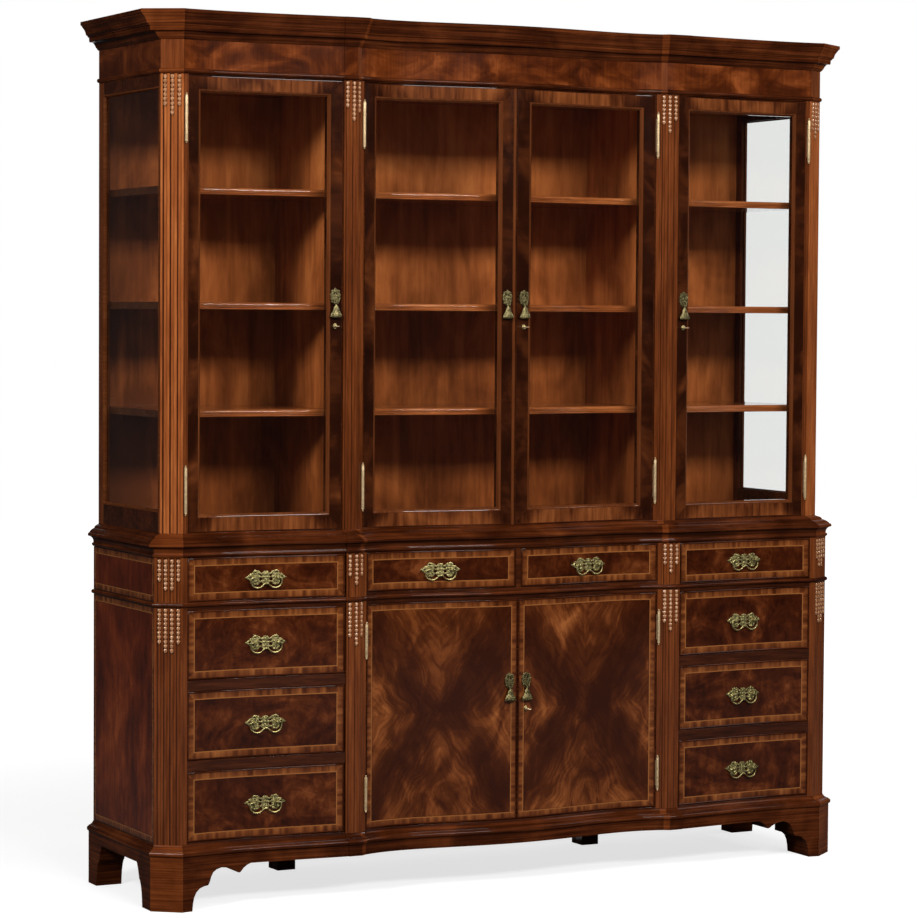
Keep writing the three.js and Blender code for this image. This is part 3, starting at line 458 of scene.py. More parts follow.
def upright_figure(wood, cx, _):
    """One broad leaf: tall soft clouds and fine upright grain, darker towards both edges."""
    clouds = wood.noise(4.4, 4, 0.58, 0.7, (1, 1, 0.55))
    streaks = wood.noise(70, 3, 0.6, scale=(1, 1, 0.06))
    flecks = wood.noise(30, 3, 0.6, 0.5, (1, 1, 0.45))
    middle = wood.spread(wood.calc("ABSOLUTE", cx), 0.05, 0.21, 0.05, -0.07, "SMOOTHSTEP")
    return wood.weighted(-0.6, (clouds, 1.3), (streaks, 0.3), (flecks, 0.5), (middle, 1))


def flame_figure(wood, *_):
    """Leaning flames with short flecks."""
    flame = wood.noise(5, 5, 0.6, 1.6, (1.2, 1.2, 1.7), 0.5)
    flecks = wood.noise(44, 3, 0.6, 0.6, (1, 1, 0.6))
    return wood.weighted(-0.375, (flame, 1.2), (flecks, 0.55))


def framed_veneer(name, bead, band, line, field, figure):
    """A veneered front: dark bead at the edge, crossbanding, a light string line and a figured field."""
    wood = new_finish(name)
    across, upright, cx, cz = edge_distances(wood)
    near = wood.calc("MINIMUM", across, upright)
    inner = bead + band
    banding = crossbanding(wood, wood.calc("LESS_THAN", upright, across), wood.calc("DIVIDE", near, inner))
    figured = wood.ramp(figure(wood, cx, cz), field)
    colour = wood.blend(wood.past(near, inner + line, 0.0007), STRING_LINE, figured)
    colour = wood.blend(wood.past(near, inner, 0.0007), banding, colour)
    dark_line = wood.weighted(0, (wood.past(near, inner + line), 0.6),
                              (wood.past(near, inner + line + 0.0012), -0.6))
    colour = wood.blend(dark_line, colour, BEAD_DARK)
    wood.put(Base_Color=wood.blend(wood.past(near, bead), BEAD_DARK, colour))
    return wood.polish(0.2, scale=(1, 1, 0.2))


def back_boards():
    """Broad upright streaks and soft patches, with painted shade: darker towards the foot, lighter towards
    the top and darker at the left end's inner face.
    """
    wood = new_finish("back boards, upright grain")
    streaks = wood.noise(34, 5, 0.62, 0.4, (1, 1, 0.1))
    patches = wood.noise(7, 4, 0.55, 0.8, (1, 1, 0.6))
    x, y, z = wood.add("SeparateXYZ", wood.place())
    # Painted shade and light: darker towards the foot, lighter towards the top.
    tone = wood.spread(z, 1.1, 2.1, -0.09, 0.09)
    # Painted shade on the left end's inner face.
    painted_shade_left_end = wood.spread(x, -0.9, -0.8, -0.15, 0)
    inner_face = wood.calc("LESS_THAN", y, 0.262)
    wood.colour(wood.weighted(-0.02, (streaks, 0.5), (patches, 0.55), (tone, 1), (painted_shade_left_end, inner_face)),
                INNER_STOPS)
    return wood.polish(0.34, 0.5, (1, 1, 0.1))


def short_grain(name, stops):
    """Short upright grain with broad soft clouds of figure."""
    wood = new_finish(name)
    clouds = wood.noise(9, 4, 0.55, 1.1, (0.8, 0.8, 1.5), 0.45)
    streaks = wood.noise(150, 3, 0.6, scale=(1, 1, 0.05))
    wood.colour(wood.weighted(-0.175, (clouds, 1.1), (streaks, 0.25)), stops)
    return wood.polish(0.2, scale=(1, 1, 0.2))


def frame_veneer():
    """Crossbanded door frame: clouded stiles, lighter rails with short upright grain, mitred corners."""
    wood = new_finish("door frame veneer")
    across, upright, _, _ = edge_distances(wood)
    lift = wood.spread(wood.calc("SUBTRACT", across, upright), 0, 0.075, 0, 0.23, "SMOOTHSTEP")
    clouds = wood.noise(9, 3, 0.5, 0.8, (1, 1, 0.8))
    level_streaks = wood.noise(60, scale=(0.12, 1, 1), rough=0.6)
    upright_streaks = wood.noise(85, scale=(1, 1, 0.07), rough=0.62)
    stile = wood.weighted(0, (clouds, 0.85), (level_streaks, 0.15))
    rail = wood.weighted(0, (clouds, 0.5), (upright_streaks, 0.5), (lift, 1))
    figure = wood.choose(wood.calc("LESS_THAN", upright, across), stile, rail)
    past_bead = wood.past(wood.calc("MINIMUM", across, upright), 0.0025)
    wood.put(Base_Color=wood.blend(past_bead, BEAD_DARK, wood.ramp(figure, FRAME_STOPS)))
    return wood.polish(0.18)


def gilded_carving():
    gilt = new_finish("gilded husk carving")
    gilt.colour(gilt.noise(160, 3), HUSK_STOPS)
    return gilt.lacquer(0.12, 1)


def brass(name, rough, metal, *stops):
    """Cast brass in random patches of brown and brighter metal."""
    metal_finish = new_finish(name)
    patches = metal_finish.noise(260, 4, 0.6, 0.4)
    metal_finish.colour(patches, stops)
    metal_finish.put(Metallic=metal, Roughness=metal_finish.spread(patches, 0.3, 0.7, rough, rough + 0.2))
    metal_finish.relief(420, 3, 0.25)
    return metal_finish.owner


def clear_glass(name, lets_in):
    """Clear glass; lets_in is the share of the lamps' light that it passes."""
    glass = new_finish(name)
    glass.put(Base_Color=(0.97, 0.98, 0.97, 1), Transmission_Weight=1, IOR=1.45,
              Roughness=glass.spread(glass.noise(6, 3), 0.4, 0.8, 0, 0.04))
    shadow, diffuse, glossy, passing = glass.rays("Shadow", "Diffuse", "Glossy", "Transmission")
    open_to = glass.calc("MAXIMUM", shadow, diffuse)
    open_to = glass.calc("MAXIMUM", open_to, glass.calc("SUBTRACT", glossy, passing))
    through = glass.add("BsdfTransparent", glass.calc("MULTIPLY_ADD", shadow, lets_in - 1, 1))[0]
    glass.cover(glass.add("MixShader", open_to, glass.shader.outputs[0], through)[0])
    return glass.owner


pilaster_wood = plain_wood("pilaster mahogany, upright grain", "z", CASE_STOPS, 0.22)
# The upper cants in a lighter copy of the pilaster wood: painted light.
cant_painted_light_wood = plain_wood("cant mahogany, upright grain, painted light", "z", PALE_AND_PAINTED_LIGHT_STOPS, 0.22)
rail_wood = plain_wood("rail mahogany, level grain", "x", DARK_STOPS, 0.22)
# Dark wood for one wall of each flute: painted shade.
flute_painted_shade_wood = plain_wood("flute mahogany, painted shade", "z", FLUTE_SHADE_STOPS, 0.3)
# Shelves and case boards in the lighter copy of the case wood: a painted highlight in place of the bright
# lines along the shelf edges.
shelf_painted_highlight_wood = plain_wood("shelf mahogany, level grain, painted highlight", "x", PALE_AND_PAINTED_LIGHT_STOPS, 0.25)
drawer_wood = plain_wood("drawer side wood", "y", PALE_AND_PAINTED_LIGHT_STOPS, 0.4)
bead_wood = plain_wood("light bead mahogany", "z", BEAD_STOPS, 0.2)
top_wood = plain_wood("unpolished top board", "x", DARK_STOPS, 0.6, coat=0)
moulding_wood = moulding_run("moulding mahogany, level grain", MOULDING_STOPS)
# The canted blocks of the mouldings in a lighter copy: painted light.
block_painted_light_wood = moulding_run("block mahogany, level grain, painted light", BLOCK_PAINTED_LIGHT_STOPS)
edge_bead_wood = moulding_run("dark edge bead", DARK_STOPS)
window_bead_wood = moulding_run("window bead mahogany", BEAD_STOPS)
drawer_veneer = framed_veneer("drawer front veneer", 0.0045, 0.0155, 0.0026, FIELD_STOPS, flame_figure)
door_veneer = framed_veneer("matched door veneer", 0.004, 0.0135, 0.0024, MATCHED_STOPS, matched_figure)
side_veneer = framed_veneer("side panel veneer", 0.002, 0.0135, 0.0024, SIDE_STOPS, upright_figure)
frieze_wood = short_grain("frieze veneer, short grain", FRIEZE_STOPS)
door_frame_wood = frame_veneer()
inner_wood = back_boards()
husk_gilt = gilded_carving()
pull_brass = brass("aged pull brass", 0.3, 0.85,
                   (0.32, 0.055, 0.042, 0.014), (0.5, 0.3, 0.25, 0.095), (0.68, 0.72, 0.62, 0.29))
handle_brass = brass("dark handle brass", 0.34, 0.85,
                     (0.32, 0.026, 0.02, 0.007), (0.5, 0.125, 0.1, 0.04), (0.68, 0.36, 0.3, 0.135))
hinge_brass = brass("bright hinge brass", 0.36, 0.65, (0.3, 0.42, 0.29, 0.14), (0.7, 0.74, 0.54, 0.31))
window_glass = clear_glass("clear window glass", 1)
side_glass = clear_glass("clear side glass", 0.22)


# Mouldings that run round the cabinet
def mark_blocks(bm):
    """The canted blocks take the second finish; on most mouldings that is a lighter copy of the moulding
    wood, painted light.
    """
    bm.normal_update()
    for face in bm.faces:
        x, y, _ = face.normal
        face.material_index = int(y < -0.02 and abs(y) * 0.42 < abs(x) < abs(y) * 2.4)
    return bm


def round_piece(name, levels, bevel, replaces=(), woods=(moulding_wood, block_painted_light_wood)):
    return piece(name, mark_blocks(loft(levels)), list(woods), "case", replaces, bevel)


def round_mouldings():
    bead_top = FOOT_TOP + 14
    foot = [(z, plan_loop(FOOT_TIER, FOOT_AHEAD)) for z in (0, FOOT_TOP)]
    foot += moulding(FOOT_TIER, PLINTH_BEAD_TIER, FOOT_TOP, bead_top, ROUND_BEAD[1:], FOOT_AHEAD)
    step_in = [(0.12, 0.02), (0.2, 0.3), (0.4, 0.62), (0.65, 0.86), (0.85, 0.93), (0.88, 1), (1, 1)]
    foot += moulding(FOOT_TIER, LOWER_TIER, bead_top, PLINTH_TOP, step_in, LOWER_AHEAD)
    cut_plinth(round_piece("plinth_moulded", foot, 0.8, ["plinth"]))

    rise = [(0, 0), (0.08, 0.22), (0.14, 0.3), (0.22, 0.32), (0.27, 0.26), (0.29, 0.1), (0.36, 0.04),
            (0.52, 0.1), (0.64, 0.22), (0.74, 0.42), (0.8, 0.62), (0.82, 0.64), (0.83, 0.9), (0.87, 0.98),
            (0.93, 1), (1, 0.98)]
    fall = [(0.06, 0.05), (0.16, 0.09), (0.2, 0.2), (0.42, 0.34), (0.64, 0.56), (0.8, 0.8), (0.86, 0.92),
            (0.9, 1), (1, 1)]
    nose = LOWER_TOP + (DECK_TOP - LOWER_TOP) * 0.66
    waist = moulding(LOWER_TIER, WAIST_TIER, LOWER_TOP, nose, rise, LOWER_AHEAD)
    waist += moulding(WAIST_TIER, HUTCH_TIER, nose, DECK_TOP, fall, LOWER_AHEAD)
    round_piece("base_top_moulded", waist, 0.5, ["base_top"])
    hollow = [(0, 0), (0.3, 0.12), (0.6, 0.45), (0.85, 0.85), (1, 1)]
    base = moulding(HUTCH_TIER, UPPER_TIER, DECK_TOP, UPPER_BOTTOM, hollow)
    base += [(UPPER_BOTTOM + 0.8, plan_loop(UPPER_TIER))]
    round_piece("case_base_moulding", base, 0.4)

    bead_top = UPPER_TOP + 14
    head = [(UPPER_TOP, plan_loop(UPPER_TIER))]
    head += moulding(UPPER_TIER, swollen(UPPER_TIER, 6), UPPER_TOP + 2, bead_top, ROUND_BEAD)
    round_piece("frieze_bead", head, 0.3)
    frieze = [(z, plan_loop(UPPER_TIER)) for z in (bead_top, FRIEZE_TOP)]
    round_piece("frieze_veneered", frieze, 0.3, woods=(frieze_wood, pilaster_wood))
    steps = [(0, 0.03), (0.04, 0.1), (0.08, 0.13), (0.1, 0.17), (0.14, 0.19), (0.2, 0.24), (0.26, 0.31),
             (0.28, 0.36), (0.285, 0.5), (0.31, 0.53), (0.44, 0.54), (0.46, 0.6), (0.5, 0.62),
             (0.515, 0.66), (0.54, 0.7), (0.6, 0.72), (0.68, 0.765), (0.75, 0.83), (0.8, 0.885),
             (0.83, 0.92), (0.855, 0.93), (0.86, 0.97), (0.89, 1), (1, 1)]
    crown = mark_blocks(loft(moulding(UPPER_TIER, CORNICE_TIER, FRIEZE_TOP, CABINET_TOP, steps)))
    for face in crown.faces:
        if face.normal.z > 0.9 and face.calc_center_median().z > CABINET_TOP - 0.5:
            face.material_index = 2
    piece("cornice_moulded", crown, [moulding_wood, block_painted_light_wood, top_wood], "case",
          ["cornice"], bevel=0.5)

    bead_low, bead_high = LOWER_TOP - 129, LOWER_TOP - 117
    inner = plan_loop(dict(LOWER_TIER, side=1025, rear=1022, ahead=8, flank=438), 8)
    band = moulding(LOWER_TIER, swollen(LOWER_TIER, 7), bead_low, bead_high, ROUND_BEAD, LOWER_AHEAD)
    round_piece("case_bead", [(bead_low, inner)] + band + [(bead_high, inner)], 0.3)


def cut_plinth(plinth):
    """Bracket feet: the apron's scrolled cut, the side cut and the hollow inside are taken out."""
    below = -6
    rear, near, foot_reach = 60, 398, 40
    scroll_cut = [(0, 0), (0.01, 0.16), (0.03, 0.31), (0.07, 0.43), (0.13, 0.51), (0.2, 0.55),
                  (0.272, 0.565), (0.29, 0.6), (0.31, 0.67), (0.325, 0.75), (0.36, 0.85), (0.42, 0.915),
                  (0.5, 0.95), (0.58, 0.94), (0.66, 0.905), (0.73, 0.855), (0.79, 0.8), (0.82, 0.8),
                  (0.84, 0.83), (0.88, 0.9), (0.94, 0.965), (1, 1)]
    half = [(WING_EDGE - 168 * run, APRON_RISE * rise) for run, rise in scroll_cut]
    outline = [(-WING_EDGE, below)] + [(-x, z) for x, z in half] + half[::-1] + [(WING_EDGE, below)]
    cutters = [prism([(x, BACK - 390, z) for x, z in outline], 0, -200, 0)]
    side_cut = [(0, 0), (0.05, 0.2), (0.12, 0.35), (0.25, 0.5), (0.4, 0.6), (0.55, 0.64), (0.6, 0.7),
                (0.72, 0.82), (0.86, 0.92), (1, 1)]
    outline = [(rear, below)] + [(rear + foot_reach * run, APRON_RISE * rise) for run, rise in side_cut]
    outline += [(near - foot_reach * run, APRON_RISE * rise) for run, rise in reversed(side_cut)]
    outline += [(near, below)]
    cutters.append(prism([(-1200, BACK - d, z) for d, z in outline], 2400, 0, 0))
    for x0, x1, d0, d1, top in ((-983, 983, 22, near, 150), (-915, 915, 390, 424, 150),
                                (-983, -518, -6, 24, APRON_RISE), (-462, 462, -6, 24, APRON_RISE),
                                (518, 983, -6, 24, APRON_RISE)):
        cutters.append(block(x0, x1, d0, d1, below, top))
    cut_out(plinth, cutters)
    bm = bmesh.new()
    for x0, x1 in ((-517.5, -462.5), (462.5, 517.5)):
        block(x0, x1, 0.5, 60, 0, 150, bm)
    piece("rear_centre_feet", bm, rail_wood, "case", bevel=1)


def cut_out(target, cutters):
    """Takes the cutters out of a piece's mesh; its rounding stays live."""
    rounding = target.modifiers["rounding"]
    rounding.show_viewport = False
    made = []
    for bm in cutters:
        bmesh.ops.scale(bm, vec=(MM,) * 3, verts=bm.verts)
        bmesh.ops.recalc_face_normals(bm, faces=bm.faces)
        made.append(new_object("cutter", bm))
        cut = target.modifiers.new("cut", "BOOLEAN")
        cut.operation = "DIFFERENCE"
        cut.solver = "EXACT"
        cut.object = made[-1]
    bpy.context.view_layer.update()
    shape = bpy.data.meshes.new_from_object(target.evaluated_get(bpy.context.evaluated_depsgraph_get()))
    for cut in [m for m in target.modifiers if m.type == "BOOLEAN"]:
        target.modifiers.remove(cut)
    target.data = shape
    bm = bmesh.new()
    bm.from_mesh(shape)
    bmesh.ops.remove_doubles(bm, verts=bm.verts, dist=0.00002)
    bmesh.ops.dissolve_degenerate(bm, edges=bm.edges, dist=0.00002)
    crease(bm)
    bm.to_mesh(shape)
    bm.free()
    rounding.show_viewport = True
    for obj in made:
        bpy.data.objects.remove(obj)


# Fluted boards of the pilasters and corners, and the husks in their flutes
CANT_FLUTES = [0.16, 0.387, 0.607, 0.825]
UPPER_CANT_FLUTES = [0.19, 0.5, 0.81]
FACE_FLUTES = [0.25, 0.75]
FLUTE_DEPTH = 3.4
FLUTED_THICK = 9
HUSK_WIDE = 6.3
HUSK_PITCH = 11.6
HUSK_SINK = 0.8


def fluted_face(start, end, z0, z1, flutes, rounding):
    """A board between two plan points (across, depth) with upright flutes at the given shares."""
    a, b = (Vector((x, BACK - d)) for x, d in (start, end))
    along = b - a
    length = along.length
    bm = bmesh.new()
    bmesh.ops.create_grid(bm, x_segments=int(length / 0.55), y_segments=1, size=0.5)
    stretch(bm, length, 1, 1)
    move(bm, length / 2, 0, 0)
    for vert in bm.verts:
        run, up, _ = vert.co
        offs = [min(abs(run - share * length) / rounding, 1) for share in flutes]
        sink = FLUTE_DEPTH * math.sqrt(1 - min(offs) ** 2)
        vert.co = (run, sink, z1 if up > 0 else z0)
    # One wall of each flute takes the second, darker finish: painted shade on the wall turned from the
    # light.
    for face in bm.faces:
        run = sum(vert.co.x for vert in face.verts) / len(face.verts)
        painted_shade_walls = [-1.02 * rounding < run - share * length < -0.4 * rounding for share in flutes]
        face.material_index = int(any(painted_shade_walls))
    out = bmesh.ops.extrude_face_region(bm, geom=bm.faces[:])["geom"]
    for vert in verts_of(out):
        vert.co.y = FLUTED_THICK
    rotate(bm, "Z", math.atan2(along.y, along.x))
    move(bm, a.x, a.y, 0)
    bmesh.ops.recalc_face_normals(bm, faces=bm.faces)
    return bm


def tier_plan(tier):
    ahead = tier["ahead"]
    corner = (tier["corner"], wing_front(tier["corner"]) + ahead + BLOCK_PROUD)
    side = (tier["side"], tier["flank"])
    inner = (CENTRE_EDGE, centre_front(CENTRE_EDGE) + ahead)
    turn = (RETURN_EDGE, PILASTER_FRONT + ahead)
    outer = (PILASTER_EDGE, PILASTER_FRONT + ahead)
    return corner, side, inner, turn, outer


def both(points, sign):
    return [(sign * x, d) for x, d in points]


def pilasters(tier, name, z0, z1, cant_flutes):
    corner, side, inner, turn, outer = tier_plan(tier)
    ahead = tier["ahead"]
    for sign, hand in HANDS:
        def face(start, end, flutes, rounding):
            ends = both([start, end], sign)
            if sign < 0:
                ends.reverse()
                flutes = [1 - share for share in flutes]
            return fluted_face(*ends, z0, z1, flutes, rounding)
        # The upper cants take the lighter copy of the wood: painted light.
        finish = cant_painted_light_wood if name == "upper" else pilaster_wood
        cant = face(corner, side, cant_flutes, 5.7)
        piece(f"cant_{name}_{hand}", cant, [finish, flute_painted_shade_wood], recalc=False)
        bm = join(face(turn, outer, FACE_FLUTES, 5.4), face(inner, turn, [0.5], 4.6))
        piece(f"pilaster_{name}_{hand}", bm, [pilaster_wood, flute_painted_shade_wood], recalc=False)
        # The post behind each fluted board, and the strips on either side of it
        front = PILASTER_FRONT + ahead
        door_side, outer_side = 453.5, PILASTER_EDGE - 3
        core = [(door_side, centre_front(door_side) + ahead), (CENTRE_EDGE - 0.4, inner[1] - 0.4),
                (CENTRE_EDGE + 4, inner[1] - 7), (RETURN_EDGE + 3, front - 8), (outer_side, front - 8),
                (outer_side, front - 62), (door_side, front - 62)]
        strip, edge = tier["corner"] - 15, tier["corner"] - 0.6
        post = [(strip, wing_front(strip) + ahead), (edge, wing_front(edge) + ahead),
                (edge, corner[1] - 8), (side[0] - 6, side[1] - 6), (side[0] - 8, side[1] - 18),
                (strip, wing_front(strip) + ahead - 24)]
        bm = join(*[plan_block(both(plan, sign), z0, z1) for plan in (core, post)])
        piece(f"pilaster_core_{name}_{hand}", bm, pilaster_wood, bevel=0.4)


def husk_string(start, end, share, top, count):
    """One string of husks, hung one below another in a flute."""
    a, b = (Vector((x, -d)) for x, d in (start, end))
    along = (b - a).normalized()
    out = Vector((along.y, -along.x)) * math.copysign(1, along.x)
    place = a + (b - a) * share - out * HUSK_SINK
    bm = bmesh.new()
    for i in range(count):
        made = bmesh.ops.create_uvsphere(bm, u_segments=8, v_segments=6, radius=1)["verts"]
        for vert in made:
            x, y, z = vert.co
            wide = HUSK_WIDE * (0.78 + 0.3 * z if z > -0.6 else 0.5)
            vert.co = (x * wide, y * 4.2, z * 6.4)
        rotate(bm, "Z", math.atan2(along.y, along.x), made)
        move(bm, place.x, BACK + place.y, top - 6 - HUSK_PITCH * i, made)
    return bm


def husks(tier, name, top, cant_flutes, cant_counts, face_counts):
    corner, side, inner, turn, outer = tier_plan(tier)
    for sign, hand in HANDS:
        bm = bmesh.new()
        for ends, shares, counts in (((corner, side), cant_flutes, cant_counts),
                                     ((turn, outer), FACE_FLUTES, face_counts[1:]),
                                     ((inner, turn), [0.5], face_counts[:1])):
            for share, count in zip(shares, counts):
                join(bm, husk_string(*both(ends, sign), share, top, count))
        piece(f"husks_{name}_{hand}", bm, husk_gilt)


# Framed and veneered fronts, made flat and then laid along the curve
COCK_BEAD = [(0.5, 0.5), (1.2, 1), (1.2, 0.3), (1, -0.6), (0.6, -1.5)]
DOOR_BEAD = [(0.6, 0.6), (1.4, 0.7), (1.4, 0), (0.8, -0.8), (0.4, -0.5)]
FRAME_FLAT = [(0.8, 0.8), (1.4, 0.2), (0.8, -0.6), (31, 0)]
FRAME_OVOLO = [(0.5, -1.2), (0.9, 0.5), (1.2, -0.2), (1.3, -0.9), (1.4, -1.7), (1.4, -2.6), (1.2, -0.9)]
WINDOW_BEAD = [(0.8, 1.2), (1.6, 0.6), (1.6, -0.4), (1.4, -1.8), (2, -3)]


def distances_from_edges(bm, x0, x1, z0, z1):
    low = bm.loops.layers.uv.new("from_low")
    high = bm.loops.layers.uv.new("from_high")
    for face in bm.faces:
        for loop in face.loops:
            x, _, z = loop.vert.co
            loop[low].uv = ((x - x0) * MM, (z - z0) * MM)
            loop[high].uv = ((x1 - x) * MM, (z1 - z) * MM)


def stepped_panel(x0, x1, z0, z1, steps, thick, open_middle=False):
    """A panel whose face steps in from its edges in mitres; each step is (width, how far forward)."""
    bm = bmesh.new()
    bmesh.ops.create_grid(bm, x_segments=1, y_segments=1, size=0.5)
    rotate(bm, "X", QUARTER)
    stretch(bm, x1 - x0, 1, z1 - z0)
    move(bm, (x0 + x1) / 2, 0, (z0 + z1) / 2)
    bm.faces.ensure_lookup_table()
    face = bm.faces[0]
    out = bmesh.ops.extrude_edge_only(bm, edges=list(face.edges))["geom"]
    move(bm, 0, thick, 0, verts_of(out))
    rear = edges_of(out)
    for width, forward in steps:
        bmesh.ops.inset_region(bm, faces=[face], thickness=width, use_even_offset=True)
        move(bm, 0, -forward, 0, face.verts)
    if not open_middle:
        bmesh.ops.contextual_create(bm, geom=rear)
        return bm
    inner = list(face.edges)
    bmesh.ops.delete(bm, geom=[face], context="FACES_ONLY")
    out = bmesh.ops.extrude_edge_only(bm, edges=inner)["geom"]
    for vert in verts_of(out):
        vert.co.y = thick
    bmesh.ops.bridge_loops(bm, edges=rear + edges_of(out))
    return bm


def curved_front(x0, x1, z0, z1, steps, ahead, slices=14):
    """A drawer or solid door: its face along the curve; its callers give its cock bead the second finish."""
    bm = stepped_panel(x0, x1, z0, z1, steps, FRONT_THICK)
    slice_at(bm, *[x0 + (x1 - x0) * i / slices for i in range(1, slices)])
    distances_from_edges(bm, x0, x1, z0, z1)
    bend_to_front(bm, ahead)
    return bm


def mark_edges(bm, x0, x1, z0, z1, reach, index):
    """Gives the faces within reach of the edges their own finish."""
    for face in bm.faces:
        x, _, z = face.calc_center_median()
        if min(x - x0, x1 - x, z - z0, z1 - z) < reach:
            face.material_index = index


def level_rail(x0, x1, z0, z1, slices=12):
    return bend_to_front(stepped_panel(x0, x1, z0, z1, [], 20), LOWER_AHEAD, x0, x1, slices)


def side_panel(sign, d0, d1, z0, z1, steps, side, thick, open_middle=False):
    bm = stepped_panel(d0, d1, z0, z1, steps, thick, open_middle)
    distances_from_edges(bm, d0, d1, z0, z1)
    for vert in bm.verts:
        d, y, z = vert.co
        vert.co = (sign * (side - y), BACK - d, z)
    return bm


# Brass fittings, made at the origin with their faces towards -Y
PLATE_THICK = 2.6


def place_on_front(bm, x, ahead, z):
    return move(rotate(bm, "Z", front_turn(x)), x, BACK - front_depth(x) - ahead, z)


def mirrored(half):
    return half + [(-x, z) for x, z in reversed(half) if x]


def smooth_points(points, per, closed=True):
    """A rounded line through the given points."""
    made = []
    last = len(points) - 1
    for i in range(last + closed):
        near = [k % (last + 1) if closed else min(max(k, 0), last) for k in range(i - 1, i + 3)]
        a, b, c, d = (Vector(points[k]) for k in near)
        for t in [j / per for j in range(per)]:
            made.append(0.5 * (2 * b + (c - a) * t + (2 * a - 5 * b + 4 * c - d) * t ** 2
                               + (3 * b - a - 3 * c + d) * t ** 3))
    return made if closed else made + [Vector(points[-1])]


def add_line(curve, points, closed):
    """Adds a line of points to a curve, each (x, y, z, radius)."""
    spline = curve.splines.new("POLY")
    spline.points.add(len(points) - 1)
    for point, (*place, radius) in zip(spline.points, points):
        point.co = (*place, 1)
        point.radius = radius
    spline.use_cyclic_u = closed


def curve_to_bmesh(curve):
    obj = bpy.data.objects.new("outline", curve)
    bpy.context.scene.collection.objects.link(obj)
    bpy.context.view_layer.update()
    mesh = bpy.data.meshes.new_from_object(obj.evaluated_get(bpy.context.evaluated_depsgraph_get()))
    bm = bmesh.new()
    bm.from_mesh(mesh)
    bpy.data.objects.remove(obj)
    bpy.data.meshes.remove(mesh)
    bpy.data.curves.remove(curve)
    bmesh.ops.remove_doubles(bm, verts=bm.verts, dist=0.01)
    return bm


def cast_plate(half, holes, soft):
    """A pierced plate from half an outline and holes, all (across, height), with rounded edges."""
    curve = bpy.data.curves.new("outline", "CURVE")
    curve.dimensions = "2D"
    curve.fill_mode = "BOTH"
    curve.extrude = PLATE_THICK / 2 - soft
    curve.bevel_depth = soft
    curve.offset = -soft
    curve.bevel_resolution = 1
    both_holes = [[(sign * x, z) for x, z in hole] for sign in (-1, 1) for hole in holes]
    for outline in [mirrored(half)] + both_holes:
        add_line(curve, [(*point, 0, 1) for point in smooth_points(outline, 2)], True)
    return move(rotate(curve_to_bmesh(curve), "X", QUARTER), 0, -PLATE_THICK / 2, 0)


def rod(points, radii, sides=2, closed=False):
    """A round bar along a line of points, each with its own radius."""
    curve = bpy.data.curves.new("line", "CURVE")
    curve.dimensions = "3D"
    curve.bevel_depth = 1
    curve.bevel_resolution = sides
    curve.use_fill_caps = True
    add_line(curve, [(*place, radius) for place, radius in zip(points, radii)], closed)
    return curve_to_bmesh(curve)


def turned(profile, sides=16, lay=None):
    """A shape turned on a lathe from (radius, height), then laid over about X or Y."""
    bm = bmesh.new()
    verts = [bm.verts.new((r, 0, h)) for r, h in profile]
    edges = [bm.edges.new(pair) for pair in zip(verts, verts[1:])]
    bmesh.ops.spin(bm, geom=verts + edges, cent=(0, 0, 0), axis=(0, 0, 1), angle=math.tau, steps=sides,
                   use_merge=True)
    bmesh.ops.remove_doubles(bm, verts=bm.verts, dist=0.001)
    bmesh.ops.recalc_face_normals(bm, faces=bm.faces)
    return rotate(bm, lay, QUARTER) if lay else bm


def scroll(x, z, size, turns, start, hand):
    """A C scroll as a thin raised rod on a plate."""
    steps = 14
    points = []
    for i in range(steps + 1):
        angle = start + hand * turns * math.tau * i / steps
        radius = size * (1 - 0.72 * i / steps)
        points.append((x + radius * math.cos(angle), -2.4, z + radius * math.sin(angle)))
    return rod(points, [1.25 - 0.4 * i / steps for i in range(steps + 1)], 1)


def stud(x, z, size):
    """A small cast bead standing on a plate."""
    return move(turned([(0, 0.6), (size, 0.9), (size, 2.4), (size * 0.72, 3.5), (0, 4.2)], 8, "X"), x, 0, z)


